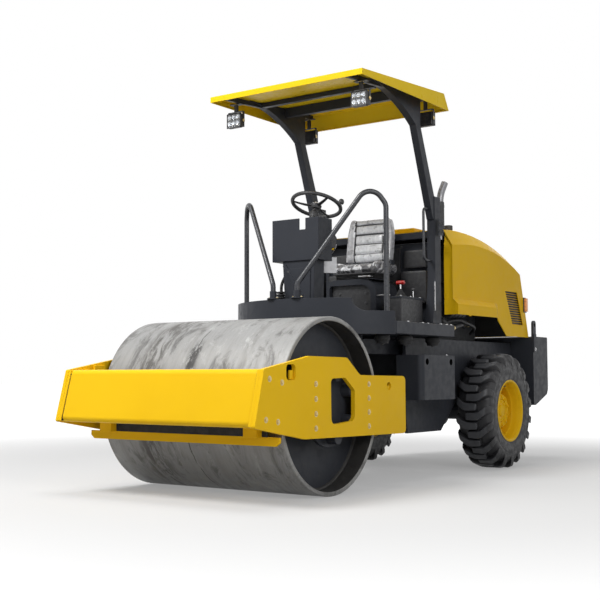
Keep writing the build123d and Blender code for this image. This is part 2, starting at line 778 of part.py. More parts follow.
def build_nodes():
    """Every piece by its name."""
    nodes = {
        "front_beam": front_beam(),
        "scraper": scraper(),
        "rear_crossmember": rear_crossmember(),
        "mount_carriers": mount_carriers(),
        "drum_shell": drum_shell(),
        "drum_heads": drum_heads(),
        "centre_block": centre_block(),
        "frame_rails": frame_rails(),
        "hinge_fork": hinge_fork(),
        "rear_axle": rear_axle(),
        "engine": engine(),
        "bulkhead": bulkhead(),
        "counterweight": counterweight(),
        "side_tanks": side_tanks(),
        "deck_beams": deck_beams(),
        "deck_floor": deck_floor(),
        "deck_skirt": deck_skirt(),
        "cross_members": cross_members(),
        "canopy": canopy(),
        "work_lamps": work_lamps(),
        "grab_handle": grab_handle(),
        "console": console(),
        "steering_column": steering_column(),
        "instrument_panel": instrument_panel(),
        "steering_wheel": steering_wheel(),
        "seat_pedestal": seat_pedestal(),
        "seat_suspension": seat_suspension(),
        "seat_cushion": seat_cushion(),
        "seat_backrest": seat_backrest(),
        "control_box": control_box(),
        "hood_shell": hood_shell(),
        "exhaust_stack": exhaust_stack(),
        "tail_lamps": tail_lamps(),
    }
    for name, side in SIDES:
        nodes["side_plate_" + name] = side_plate(side)
        nodes["post_" + name] = post(side)
        nodes["handrail_" + name] = handrail(side)
        nodes["steering_barrel_" + name] = steering_barrel(side)
        nodes["steering_rod_" + name] = steering_rod(side)
        nodes["tyre_" + name] = tyre(side)
        nodes["rim_" + name] = rim(side)
    return nodes


os.makedirs("parts", exist_ok=True)
for node, shape in build_nodes().items():
    export_step(shape, "parts/" + node + ".step")
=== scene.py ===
from math import cos, exp, pi, radians, sin, sqrt, tan

import bmesh
import bpy
from mathutils import Matrix, Vector, noise


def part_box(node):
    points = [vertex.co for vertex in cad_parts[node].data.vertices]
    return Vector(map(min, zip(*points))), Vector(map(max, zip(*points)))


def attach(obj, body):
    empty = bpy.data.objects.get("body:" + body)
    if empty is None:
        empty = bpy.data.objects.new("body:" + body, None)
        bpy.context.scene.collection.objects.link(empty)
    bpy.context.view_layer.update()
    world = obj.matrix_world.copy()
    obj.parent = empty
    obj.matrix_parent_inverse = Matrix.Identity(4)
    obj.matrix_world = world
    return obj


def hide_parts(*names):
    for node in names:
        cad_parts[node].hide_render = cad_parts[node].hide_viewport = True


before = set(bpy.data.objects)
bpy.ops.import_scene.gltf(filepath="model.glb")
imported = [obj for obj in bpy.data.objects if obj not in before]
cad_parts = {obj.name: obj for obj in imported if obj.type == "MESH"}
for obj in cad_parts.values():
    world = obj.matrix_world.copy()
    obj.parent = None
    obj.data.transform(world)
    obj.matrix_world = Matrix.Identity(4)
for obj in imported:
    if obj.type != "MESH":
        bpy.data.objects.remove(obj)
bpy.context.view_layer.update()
scene = bpy.context.scene

# A single-drum road roller. Metres, +Z up, the drum towards -Y, the machine's left towards +X.

# ---- places read from the frame ----
SIDES = (("left", 1), ("right", -1))
UP, LEFT, FORWARD, BACK, DOWN = (0, 0, 1), (1, 0, 0), (0, -1, 0), (0, 1, 0), (0, 0, -1)


def middle(node):
    """Centre of a CAD node's box."""
    low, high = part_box(node)
    return (low + high) / 2


drum = middle("drum_shell")
drum_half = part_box("drum_shell")[1].x
drum_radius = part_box("drum_shell")[1].z - drum.z
drum_front = drum.y - drum_radius
plate_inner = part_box("side_plate_left")[0].x
plate_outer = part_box("side_plate_left")[1].x
axle = middle("tyre_left")
tyre_radius = axle.z
deck_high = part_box("deck_floor")[1]
floor_z = deck_high.z
hood_low, hood_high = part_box("hood_shell")
post_x = middle("post_left").x
post_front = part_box("grab_handle")[1].y


# ---- finishes ----
class Nodes:
    """Short calls that add and feed the nodes of a tree."""

    def __init__(self, tree):
        self.tree = tree

    def add(self, kind, settings=None, **feeds):
        """Adds a node, sets its settings, and feeds its inputs by name."""
        node = self.tree.nodes.new(kind)
        for key, value in (settings or {}).items():
            setattr(node, key, value)
        for label, value in feeds.items():
            self.feed(node.inputs[label.replace("_", " ")], value)
        return node

    def feed(self, socket, value):
        if isinstance(value, bpy.types.NodeSocket):
            self.tree.links.new(value, socket)
        else:
            socket.default_value = value

    def maths(self, operation, *values):
        node = self.add("ShaderNodeMath", {"operation": operation})
        for socket, value in zip(node.inputs, values):
            self.feed(socket, value)
        return node.outputs[0]

    def between(self, value, low, high, to_low=0.0, to_high=1.0):
        """A value stretched from low..high to to_low..to_high, smooth and clamped."""
        node = self.add("ShaderNodeMapRange", {"interpolation_type": "SMOOTHSTEP"})
        for socket, number in zip(node.inputs[:5], (value, low, high, to_low, to_high)):
            self.feed(socket, number)
        return node.outputs[0]


class Finish(Nodes):
    """A procedural finish: a principled shader, and calls that lay colour, gloss and relief on it."""

    def __init__(self, name, colour, roughness, metallic=0.0, **sockets):
        self.material = bpy.data.materials.new(name)
        self.material.use_nodes = True
        super().__init__(self.material.node_tree)
        self.shader = self.tree.nodes["Principled BSDF"]
        self.place = self.add("ShaderNodeTexCoord").outputs["Object"]
        sockets.update(Base_Color=(*colour, 1), Roughness=roughness, Metallic=metallic)
        for label, value in sockets.items():
            self.shader.inputs[label.replace("_", " ")].default_value = value

    def noise(self, scale, detail=4.0, rough=0.55, stretch=None, warp=0.0):
        """Noise from 0 to 1; stretch scales the place along each axis first."""
        place = self.place
        if stretch:
            place = self.add("ShaderNodeMapping", Vector=place, Scale=stretch).outputs["Vector"]
        return self.add("ShaderNodeTexNoise", Vector=place, Scale=scale, Detail=detail, Roughness=rough,
                        Distortion=warp).outputs["Fac"]

    def axis(self, name):
        """One coordinate of the place."""
        return self.add("ShaderNodeSeparateXYZ", Vector=self.place).outputs[name]

    def tint(self, colour, factor):
        """Lays a colour over the base by a factor."""
        base = self.shader.inputs["Base Color"]
        mix = self.add("ShaderNodeMix", {"data_type": "RGBA"}, Factor=factor)
        self.feed(mix.inputs[6], base.links[0].from_socket if base.is_linked else base.default_value)
        self.feed(mix.inputs[7], (*colour, 1))
        self.feed(base, mix.outputs[2])
        return self

    def stain(self, colour, low, high, amount, *grain):
        """Lays a colour over the base where a noise lies between low and high or above."""
        return self.tint(colour, self.between(self.noise(*grain), low, high, 0.0, amount))

    def gloss(self, low, high, *grain):
        """Roughness that runs from low to high with a noise."""
        self.feed(self.shader.inputs["Roughness"], self.between(self.noise(*grain), 0.3, 0.7, low, high))
        return self

    def relief(self, depth, strength, *grain, cells=0):
        """Bump of the given depth in metres, from a noise or from cells, on top of the last one."""
        if cells:
            height = self.add("ShaderNodeTexVoronoi", Vector=self.place, Scale=cells).outputs["Distance"]
        else:
            height = self.noise(*grain)
        bump = self.add("ShaderNodeBump", Strength=strength, Distance=depth, Height=height)
        normal = self.shader.inputs["Normal"]
        if normal.is_linked:
            self.feed(bump.inputs["Normal"], normal.links[0].from_socket)
        self.feed(normal, bump.outputs["Normal"])
        return self


def scaled(colour, share):
    return tuple(c * share for c in colour)


def painted(name, colour, shade, roughness, dust, shine):
    """Sprayed paint: slow drifts of shade, dust low down and a faint orange peel."""
    paint = Finish(name, colour, roughness, Specular_IOR_Level=shine).stain(shade, 0.35, 0.75, 0.55, 1.7, 3)
    grime = paint.between(paint.noise(9, 6, 0.7), 0.5, 0.85, 0.0, dust)
    low_down = paint.between(paint.axis("Z"), 0.15, 1.1, 1.0, 0.15)
    paint.tint((0.30, 0.26, 0.20), paint.maths("MULTIPLY", grime, low_down))
    return paint.gloss(roughness - 0.08, roughness + 0.10, 22, 4).relief(0.0004, 0.22, 420, 2).material


def drum_steel():
    """Bare rolled steel: bands round the shell, a weld line with a dark patch, and stains."""
    steel = Finish("rolled_drum_steel", (0.27, 0.27, 0.265), 0.5, 0.25)
    x, y, z = (steel.axis(name) for name in "XYZ")
    steel.stain((0.20, 0.196, 0.188), 0.42, 0.72, 0.8, 2.6, 5, 0.6, (7.0, 0.5, 0.5))
    steel.stain((0.080, 0.077, 0.073), 0.50, 0.66, 0.85, 3.4, 8, 0.72, (2.4, 0.9, 0.9), 0.9)
    steel.stain((0.50, 0.50, 0.49), 0.54, 0.74, 0.6, 6.0, 8, 0.75, (1.5, 0.7, 0.7), 0.4)
    steel.stain((0.16, 0.155, 0.15), 0.56, 0.72, 0.5, 60, 6, 0.75, (1.6, 1, 1))

    def times(first, second):
        return steel.maths("MULTIPLY", first, second)

    def away(offset):
        return steel.maths("ABSOLUTE", steel.maths("ADD", x, offset))

    off_seam = away(steel.maths("MULTIPLY_ADD", steel.noise(6, 4), 0.050, -0.013))
    seam = steel.between(off_seam, 0.0012, 0.0045, 1.0, 0.0)
    steel.tint((0.045, 0.042, 0.038), times(seam, steel.between(steel.noise(7, 4), 0.38, 0.50)))
    ahead = times(steel.between(y, drum.y - 0.40, drum.y - 0.32, 1.0, 0.0),
                  steel.between(z, drum.z + 0.02, drum.z + 0.14))
    ragged = steel.between(steel.noise(26, 8, 0.72, (1.0, 0.5, 0.5)), 0.40, 0.50)
    patch = times(steel.between(off_seam, 0.018, 0.052, 1.0, 0.0), times(ahead, ragged))
    steel.tint((0.030, 0.028, 0.027), patch)
    brown = times(steel.between(away(0.31), 0.03, 0.14, 0.95, 0.0),
                  steel.between(steel.noise(11, 8, 0.72, (2.0, 0.6, 0.6), 0.6), 0.42, 0.58))
    steel.tint((0.075, 0.070, 0.064), brown)
    steel.gloss(0.38, 0.62, 14, 6, 0.7, (3, 1, 1)).relief(0.0006, 0.5, 120, 5, 0.7, (4, 1, 1))
    return steel.relief(0.002, 0.25, 9, 3, 0.5).material


def bare_steel(name, colour, roughness):
    steel = Finish(name, colour, roughness, 1.0).stain((0.30, 0.28, 0.26), 0.5, 0.8, 0.6, 60, 5)
    return steel.gloss(roughness - 0.08, roughness + 0.15, 90, 4).relief(0.0002, 0.3, 500, 2).material


def tyre_rubber():
    """Dusty rubber; the tread tops are tinted paler and bluish, partly scuffing and partly a painted sheen.
    """
    rubber = Finish("tyre_rubber", (0.013, 0.013, 0.015), 0.6)
    rubber.stain((0.040, 0.038, 0.036), 0.45, 0.8, 0.22, 7, 6, 0.7)
    squares = []
    for name, centre in (("Y", axle.y), ("Z", axle.z)):
        away = rubber.maths("SUBTRACT", rubber.axis(name), centre)
        squares.append(rubber.maths("MULTIPLY", away, away))
    out = rubber.maths("SQRT", rubber.maths("ADD", *squares))
    tread_scuff_and_sheen = rubber.between(out, tyre_radius - 0.018, tyre_radius - 0.006)
    # Pale bluish tint on the tread tops: partly scuffed rubber, partly a painted sheen.
    rubber.tint((0.060, 0.062, 0.068), rubber.maths("MULTIPLY", tread_scuff_and_sheen, 0.8))
    return rubber.gloss(0.42, 0.7, 30, 5).relief(0.0006, 0.5, 260, 4, 0.7).material


def packing_film(name, colour, painted_highlight_share):
    """Cloudy transport film over the seat: milky, shiny, wrinkled, with near-white patches painted on as
    highlights.
    """
    film = Finish(name, colour, 0.24, Coat_Weight=0.5, Coat_Roughness=0.1)
    film.stain(scaled(colour, 0.35), 0.56, 0.66, 0.6, 13, 5, 0.55, (1.0, 1.0, 1.8), 1.2)
    # Near-white patches over the film: painted highlights on its wrinkles.
    film.stain((0.86, 0.87, 0.89), 0.50, 0.60, painted_highlight_share * 1.5, 11, 5, 0.55, (1.6, 1.0, 1.0), 1.6)
    return film.gloss(0.16, 0.36, 45, 3).relief(0.003, 0.45, 24, 5, 0.55, None, 1.4).material


def plain(name, colour, roughness, grain=200, depth=0.0003):
    """A small part's own colour, with grain and a little drift of shade."""
    finish = Finish(name, colour, roughness).stain(scaled(colour, 0.72), 0.4, 0.8, 0.7, 18, 4)
    return finish.gloss(roughness - 0.08, roughness + 0.12, 50, 4).relief(depth, 0.4, grain, 3).material


YELLOW = painted("machine_yellow", (0.84, 0.515, 0.010), (0.78, 0.46, 0.008), 0.36, 0.012, 0.07)
# A paler, more lemon copy of the machine yellow for the roof: painted light, standing for the light on the
# roof.
LIT_ROOF_YELLOW = painted("roof_yellow", (0.88, 0.61, 0.015), (0.82, 0.54, 0.012), 0.34, 0.03, 0.07)
DARK = painted("anthracite_paint", (0.036, 0.039, 0.047), (0.027, 0.029, 0.036), 0.42, 0.06, 0.14)
DRUM = drum_steel()
# Near-black finish: the drum's inside, its welds and the hood's foam lining; behind the hood's grilles it is
# a sheet of painted shade.
INSIDE = Finish("drum_inside_paint", (0.026, 0.025, 0.024), 0.6).stain(
    (0.07, 0.062, 0.05), 0.5, 0.8, 0.6, 5, 6, 0.7).gloss(0.5, 0.75, 20, 4).relief(0.001, 0.4, 90, 5).material
# Bare turned steel; on the posts a thin strip of it is laid as a painted highlight.
STEEL = bare_steel("turned_steel", (0.56, 0.56, 0.57), 0.3)
ZINC = bare_steel("zinc_bolts", (0.60, 0.49, 0.26), 0.36)
EXHAUST = bare_steel("exhaust_steel", (0.22, 0.22, 0.23), 0.4)
RUBBER = tyre_rubber()
PLASTIC = Finish("moulded_black_plastic", (0.022, 0.022, 0.024), 0.5).stain(
    (0.04, 0.04, 0.042), 0.4, 0.8, 1.0, 40, 4).gloss(0.38, 0.6, 60, 3).relief(
    0.0004, 0.35, cells=900).material
# Black rubber for mounts, boots, gaiters and seals; in the front beam the same finish is laid as painted
# shade.
RUBBER_AND_SHADE = Finish("mount_rubber", (0.012, 0.012, 0.013), 0.82).gloss(0.7, 0.9, 30, 4).relief(
    0.0006, 0.5, 180, 4).material
FILM = packing_film("packing_film", (0.66, 0.67, 0.69), 0.30)
# A darker copy of the packing film for the seat back's sides, top and bolsters: painted shade.
FILM_SHADED = packing_film("grey_packing_film", (0.42, 0.42, 0.44), 0.30)
FILM_DARK = packing_film("dark_packing_film", (0.16, 0.16, 0.17), 0.60)
# Dark finish for the seat back's channels and side seams: the black under the film, with painted shade in the
# channels.
SEAM = plain("seat_seam", (0.05, 0.05, 0.055), 0.6)
# Black with no shine, laid in holes and slots: painted shade.
SHADE = Finish("open_hole", (0.002, 0.002, 0.002), 0.9, Specular_IOR_Level=0.0).material
GLOSSY = plain("glossy_black_paint", (0.030, 0.032, 0.038), 0.30, 40, 0.00002)
GLASS = Finish("lamp_glass", (0.93, 0.95, 0.97), 0.06, Transmission_Weight=0.92, IOR=1.45).relief(
    0.0003, 0.2, 300, 2).material
REFLECTOR = Finish("lamp_reflector", (0.85, 0.86, 0.88), 0.12, 1.0).stain(
    (0.6, 0.62, 0.66), 0.4, 0.7, 1.0, 90, 3).relief(0.002, 0.6, cells=150).material
AMBER_COLOUR = (0.85, 0.28, 0.02)
AMBER = Finish("amber_lens", AMBER_COLOUR, 0.12, Coat_Weight=0.8, Coat_Roughness=0.05,
               Transmission_Weight=0.15, Emission_Color=(*AMBER_COLOUR, 1), Emission_Strength=0.15).stain(
    scaled(AMBER_COLOUR, 0.6), 0.4, 0.7, 1.0, 80, 2).relief(0.0008, 0.4, cells=260).material
RED = plain("red_knob", (0.42, 0.016, 0.014), 0.3)
CARD = plain("blank_card", (0.93, 0.93, 0.95), 0.6, 400, 0.0002)
IRON = plain("cast_iron", (0.055, 0.056, 0.058), 0.62, 90, 0.002)
ENGINE = plain("engine_grey", (0.065, 0.067, 0.07), 0.5, 60, 0.0015)
HOSE = plain("hose_rubber", (0.014, 0.014, 0.015), 0.55, 320, 0.0004)
DIAL = plain("dial_face", (0.02, 0.02, 0.022), 0.35, 300, 0.0001)
WHITE = plain("dial_marks", (0.8, 0.8, 0.78), 0.5, 300, 0.0001)


# ---- shapes ----
def shape(build):
    """A fresh bmesh filled by a builder."""
    bm = bmesh.new()
    build(bm)
    bmesh.ops.remove_doubles(bm, verts=bm.verts, dist=1e-6)
    bmesh.ops.recalc_face_normals(bm, faces=bm.faces)
    return bm


def join_rings(bm, rings, around=True, ends=False):
    """Faces from each ring of points to the next, and over the first and last ring if asked."""
    for one, two in zip(rings, rings[1:]):
        for k in range(len(one) if around else len(one) - 1):
            m = (k + 1) % len(one)
            corners = list(dict.fromkeys((one[k], one[m], two[m], two[k])))
            if len(corners) > 2:
                bm.faces.new(corners)
    if ends:
        bm.faces.new(rings[0])
        bm.faces.new(rings[-1])


def circle(bm, centre, radius, side, up, steps):
    """A ring of new points round a centre."""
    return [bm.verts.new(centre + radius * (side * cos(2 * pi * k / steps) + up * sin(2 * pi * k / steps)))
            for k in range(steps)]


def round_edges(bm, width, steps=2, sharper=25):
    """Rounds every edge sharper than the angle, in degrees."""
    if width > 0:
        edges = [e for e in bm.edges if len(e.link_faces) == 2 and e.calc_face_angle(0) > radians(sharper)]
        bmesh.ops.bevel(bm, geom=edges, offset=width, segments=steps, profile=0.6, affect="EDGES",
                        clamp_overlap=True)


def slab(x, y, z, edge=0.003):
    """A block between (low, high) pairs with rounded edges."""
    def build(bm):
        bmesh.ops.create_cube(bm, size=1)
        low, high = (Vector((x[k], y[k], z[k])) for k in (0, 1))
        for vert in bm.verts:
            vert.co = vert.co * (high - low) + (low + high) / 2
        round_edges(bm, edge)
    return shape(build)


def prism(outline, axis, low, high, edge=0.003):
    """A flat outline pulled along an axis. Outline points are the other two coordinates in order."""
    along = "XYZ".index(axis)

    def build(bm):
        rings = [[bm.verts.new((*point[:along], level, *point[along:])) for point in outline]
                 for level in (low, high)]
        join_rings(bm, rings, ends=True)
        bmesh.ops.recalc_face_normals(bm, faces=bm.faces)
        round_edges(bm, edge)
    return shape(build)


def turned(profile, centre, direction=LEFT, steps=48, closed=True):
    """A profile of (along, radius) points turned about a line through centre."""
    axis, centre = Vector(direction).normalized(), Vector(centre)
    side = Vector(UP) if abs(axis.x) > 0.99 else axis.orthogonal().normalized()

    def build(bm):
        rings = []
        for along, radius in profile:
            base = centre + axis * along
            rings.append([bm.verts.new(base)] * steps if radius < 1e-6
                         else circle(bm, base, radius, side, axis.cross(side), steps))
        join_rings(bm, rings + (rings[:1] if closed else []))
    return shape(build)


def solid(profile, centre, direction=UP, steps=28):
    """A turned shape whose profile begins and ends on the line, or is left open."""
    return turned(profile, centre, direction, steps, closed=False)


def disc(centre, radius, depth, direction=LEFT, edge=0.002, steps=32):
    """A short round bar from centre along the direction, its rims rounded."""
    e = min(edge, radius * 0.4, depth * 0.4)
    profile = [(0, 0), (0, radius - e), (e * 0.3, radius - e * 0.3), (e, radius), (depth - e, radius),
               (depth - e * 0.3, radius - e * 0.3), (depth, radius - e), (depth, 0)]
    return solid(profile, centre, direction, steps)


def smooth_path(points, bend, steps=7):
    """Points with each corner turned into an arc that starts a bend's length before it."""
    points = [Vector(p) for p in points]
    path = [points[0]]
    for before, corner, after in zip(points, points[1:], points[2:]):
        back, ahead = before - corner, after - corner
        reach = min(bend, back.length * 0.45, ahead.length * 0.45)
        start = corner + back.normalized() * reach
        end = corner + ahead.normalized() * reach
        path += [start * (1 - t) ** 2 + corner * 2 * t * (1 - t) + end * t * t
                 for t in (k / steps for k in range(steps + 1))]
    return path + points[-1:]


def pipe(path, radius, sides=16, wall=0.0, shape_of=None):
    """A round bar along a path, or an open tube if it has a wall; shape_of gives the radius on the way."""
    path = [Vector(p) for p in path]
    last = len(path) - 1

    def build(bm):
        tangents = [(path[min(k + 1, last)] - path[max(k - 1, 0)]).normalized() for k in range(last + 1)]
        side = tangents[0].orthogonal().normalized()
        rings = []
        for k, (point, tangent) in enumerate(zip(path, tangents)):
            side = (side - tangent * side.dot(tangent)).normalized()
            reach = shape_of(k / last) if shape_of else radius
            rings.append(circle(bm, point, reach, side, tangent.cross(side), sides))
        if wall:
            inside = [[bm.verts.new(point + (vert.co - point) * (1 - wall / radius)) for vert in ring]
                      for point, ring in zip(path, rings)]
            rings += inside[::-1] + rings[:1]
        join_rings(bm, rings, ends=not wall)
    return shape(build)


def copied(node, edge, steps=2):
    """A CAD node's shape with its doubles merged, its flats cleaned and its edges rounded."""
    bm = bmesh.new()
    bm.from_mesh(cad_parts[node].data)
    bmesh.ops.remove_doubles(bm, verts=bm.verts, dist=2e-5)
    bmesh.ops.dissolve_limit(bm, angle_limit=radians(0.6), use_dissolve_boundaries=False,
                             verts=bm.verts, edges=bm.edges, delimit={"NORMAL"})
    round_edges(bm, edge, steps, 28)
    return bm


def placed(bm, matrix):
    bmesh.ops.transform(bm, matrix=matrix, verts=bm.verts)
    if matrix.determinant() < 0:
        bmesh.ops.reverse_faces(bm, faces=bm.faces)
    return bm


def moved(*shift):
    return Matrix.Translation(shift)


def spun(degrees, axis):
    return Matrix.Rotation(radians(degrees), 4, axis)


def flipped(bm):
    """The mirror image across the machine's middle."""
    return placed(bm.copy(), Matrix.Diagonal((-1, 1, 1, 1)))


def framed(across, along, out, centre):
    """A frame from its three axes and its centre."""
    return Matrix([(across[k], along[k], out[k], centre[k]) for k in range(3)] + [(0, 0, 0, 1)])


class Parts(list):
    """The (bmesh, finish) pairs of one piece."""

    def add(self, finish, *shapes):
        self.extend((bm, finish) for bm in shapes)

    def both(self, finish, *shapes):
        """Adds shapes drawn on the machine's left, each with its mirror image."""
        for bm in shapes:
            self.add(finish, bm, flipped(bm))

    def placed(self, matrix):
        return [(placed(bm, matrix), finish) for bm, finish in self]


def settle(made):
    """Applies a piece's modifiers to its mesh."""
    depsgraph = bpy.context.evaluated_depsgraph_get()
    depsgraph.update()
    mesh = bpy.data.meshes.new_from_object(made.evaluated_get(depsgraph))
    mesh.name = made.name
    old = made.data
    made.modifiers.clear()
    made.data = mesh
    bpy.data.meshes.remove(old)
    return made


def in_scene(name, source):
    """An object in the scene from a mesh, or from a bmesh that is then freed."""
    mesh = source
    if isinstance(source, bmesh.types.BMesh):
        mesh = bpy.data.meshes.new(name)
        source.to_mesh(mesh)
        source.free()
    made = bpy.data.objects.new(name, mesh)
    scene.collection.objects.link(made)
    return made


def taken(made):
    """The settled shape of an object, which is removed."""
    settle(made)
    bm = bmesh.new()
    bm.from_mesh(made.data)
    bpy.data.objects.remove(made)
    return bm


def piece(name, body, parts, replaces=(), smooth=32):
    """One finished mesh from (bmesh, material) pairs, riding on its body."""
    mesh = bpy.data.meshes.new(name)
    whole = bmesh.new()
    for bm, material in parts:
        if material.name not in mesh.materials:
            mesh.materials.append(material)
        index = list(mesh.materials).index(material)
        for face in bm.faces:
            face.material_index = index
        part = bpy.data.meshes.new("part")
        bm.to_mesh(part)
        bm.free()
        whole.from_mesh(part)
        bpy.data.meshes.remove(part)
    whole.to_mesh(mesh)
    whole.free()
    mesh.shade_smooth()
    mesh.set_sharp_from_angle(angle=radians(smooth))
    made = in_scene(name, mesh)
    made.modifiers.new("weighted", "WEIGHTED_NORMAL").keep_sharp = True
    settle(made)
    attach(made, body)
    if replaces:
        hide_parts(*replaces)
    return made


# ---- repeats by geometry nodes ----
class Tree(Nodes):
    """A geometry node tree with named inputs, built by short calls."""

    def __init__(self, name, **inputs):
        super().__init__(bpy.data.node_groups.new(name, "GeometryNodeTree"))

        def socket(label, kind, way="INPUT"):
            kind = "NodeSocket" + kind
            return self.tree.interface.new_socket(label, in_out=way, socket_type=kind).identifier
        inputs["Material"] = "Material"
        socket("Geometry", "Geometry")
        self.sockets = {label: socket(label, kind) for label, kind in inputs.items()}
        socket("Geometry", "Geometry", "OUTPUT")
        self.given = self.add("NodeGroupInput").outputs
        self.end = self.add("NodeGroupOutput")

    def geo(self, kind, settings=None, **feeds):
        """Adds a geometry node and gives its first output."""
        return self.add("GeometryNode" + kind, settings, **feeds).outputs[0]

    def finish(self, geometry):
        """Realizes the instances and gives them their material."""
        real = self.geo("RealizeInstances", Geometry=geometry)
        self.feed(self.end.inputs[0], self.geo("SetMaterial", Geometry=real, Material=self.given["Material"]))
        return self


def grown(tree, seed, material, **values):
    """Runs a tree on a seed and gives the result as a (bmesh, material) pair."""
    carrier = in_scene("carrier", seed)
    modifier = carrier.modifiers.new("repeat", "NODES")
    modifier.node_group = tree.tree
    for label, value in dict(values, Material=material).items():
        modifier[tree.sockets[label]] = value
    return taken(carrier), material


def bolt_tree():
    """A washer, a hexagon head and a rounded shank end on every seed point, facing its direction."""
    tree = Tree("bolts", Across="Float")

    def sized(share):
        return tree.maths("MULTIPLY", tree.given["Across"], share)

    joined = tree.add("GeometryNodeJoinGeometry")
    for kind, sides, radii, depth, height in (
            # lengths as shares of the width across the flats
            ("Cylinder", 20, {"Radius": 0.95}, 0.08, 0.04),
            ("Cone", 6, {"Radius_Bottom": 0.58, "Radius_Top": 0.55}, 0.34, 0.08),
            ("Cone", 6, {"Radius_Bottom": 0.55, "Radius_Top": 0.46}, 0.05, 0.42),
            ("Cylinder", 12, {"Radius": 0.28}, 0.04, 0.49)):
        radii = {label: sized(share) for label, share in radii.items()}
        part = tree.geo("Mesh" + kind, {"fill_type": "NGON"}, Vertices=sides, Depth=sized(depth), **radii)
        up = tree.add("ShaderNodeCombineXYZ", Z=sized(height)).outputs[0]
        tree.feed(joined.inputs[0], tree.geo("Transform", Geometry=part, Translation=up))
    facing = tree.geo("InputNamedAttribute", {"data_type": "FLOAT_VECTOR"}, Name="facing")
    turn = tree.add("FunctionNodeAlignRotationToVector", {"axis": "Z"}, Vector=facing).outputs[0]
    return tree.finish(tree.geo("InstanceOnPoints", Points=tree.given[0], Instance=joined.outputs[0],
                                Rotation=turn))


def wheel_tree():
    """Copies a seed round the line along X through Centre, the first one turned by Phase."""
    tree = Tree("round_the_wheel", Count="Int", Phase="Float", Centre="Vector")
    count = tree.given["Count"]
    share = tree.maths("DIVIDE", tree.geo("InputIndex"), count)
    angle = tree.maths("MULTIPLY_ADD", share, 2 * pi, tree.given["Phase"])
    angles = tree.add("ShaderNodeCombineXYZ", X=angle)
    turn = tree.add("FunctionNodeEulerToRotation", Euler=angles.outputs[0]).outputs[0]
    spread = tree.geo("InstanceOnPoints", Points=tree.geo("Points", Count=count), Instance=tree.given[0],
                      Rotation=turn)
    return tree.finish(tree.geo("Transform", Geometry=tree.geo("RealizeInstances", Geometry=spread),
                                Translation=tree.given["Centre"]))


def row_tree():
    """Copies a seed in a straight row by a step."""
    tree = Tree("straight_row", Count="Int", Step="Vector")
    line = tree.geo("MeshLine", {"mode": "OFFSET"}, Count=tree.given["Count"], Offset=tree.given["Step"])
    return tree.finish(tree.geo("InstanceOnPoints", Points=line, Instance=tree.given[0]))


BOLTS, ROUND, ROW = bolt_tree(), wheel_tree(), row_tree()


def bolts(places, facing, across, finish=ZINC, both=False):
    """Bolts at places, all facing one way; both adds the mirror images."""
    spots = [((side * x, y, z), (side * facing[0], *facing[1:]))
             for side in ((1, -1) if both else (1,)) for x, y, z in places]
    seeds = bpy.data.meshes.new("bolt_places")
    seeds.from_pydata([place for place, _ in spots], [], [])
    attribute = seeds.attributes.new("facing", "FLOAT_VECTOR", "POINT")
    for entry, (_, way) in zip(attribute.data, spots):
        entry.vector = way
    return grown(BOLTS, seeds, finish, Across=across)


def in_row(bm, count, step, finish):
    """The shape repeated in a row."""
    return grown(ROW, bm, finish, Count=count, Step=step)


# ---- drum ----
def make_drum():
    """Rolled shell with chamfered rims, and a weld bead inside each head."""
    chamfer, inner = 0.004, drum_radius - 0.025
    rim = [(drum_half - chamfer, drum_radius), (drum_half, drum_radius - chamfer),
           (drum_half, inner + chamfer), (drum_half - chamfer, inner)]
    outer = [(-x, r) for x, r in rim[::-1]] + [(x * drum_half, drum_radius) for x in (-0.5, 0.0, 0.5)] + rim
    lining = [(-drum_half + chamfer, inner), (drum_half - chamfer, inner)]
    piece("drum_shell_finished", "drum",
          [(solid(outer, drum, LEFT, 160), DRUM), (solid(lining, drum, LEFT, 160), INSIDE)], ["drum_shell"])
    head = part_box("drum_heads")[1].x
    bead = ((0, 0), (0, -0.012), (0.005, -0.010), (0.010, -0.005), (0.012, 0))
    piece("drum_head_welds", "drum",
          [(turned([(side * (head + along), inner + r) for along, r in bead], drum, steps=96), INSIDE)
           for side in (1, -1)])


# ---- rear wheels ----
def tyre_lug():
    """One kinked bar lug at the top of the tyre, drawn about the axle at the origin."""
    table = (
        # across, along the tread, half width at the base, half width on top, top radius, base radius
        (-0.043, 0.000, 0.016, 0.010, 0.400, 0.376),
        (-0.036, 0.000, 0.029, 0.023, 0.4135, 0.376),
        (0.030, 0.000, 0.031, 0.026, 0.4148, 0.376),
        (0.056, -0.004, 0.031, 0.026, 0.4146, 0.376),
        (0.086, -0.026, 0.031, 0.025, 0.4125, 0.372),
        (0.108, -0.043, 0.032, 0.026, 0.405, 0.362),
        (0.1215, -0.052, 0.032, 0.026, 0.388, 0.345),
        (0.1292, -0.057, 0.031, 0.025, 0.362, 0.330),
        (0.1300, -0.060, 0.027, 0.020, 0.342, 0.322),
    )

    def build(bm):
        rings = []
        for x, along, base, top, high, low in table:
            corners = ((along - base, low), (along - top, high), (along + top, high), (along + base, low))
            rings.append([bm.verts.new((x, -r * sin(s / tyre_radius), r * cos(s / tyre_radius)))
                          for s, r in corners])
        join_rings(bm, rings, ends=True)
        bmesh.ops.recalc_face_normals(bm, faces=bm.faces)
        round_edges(bm, 0.0025, 1, 35)
    return shape(build)


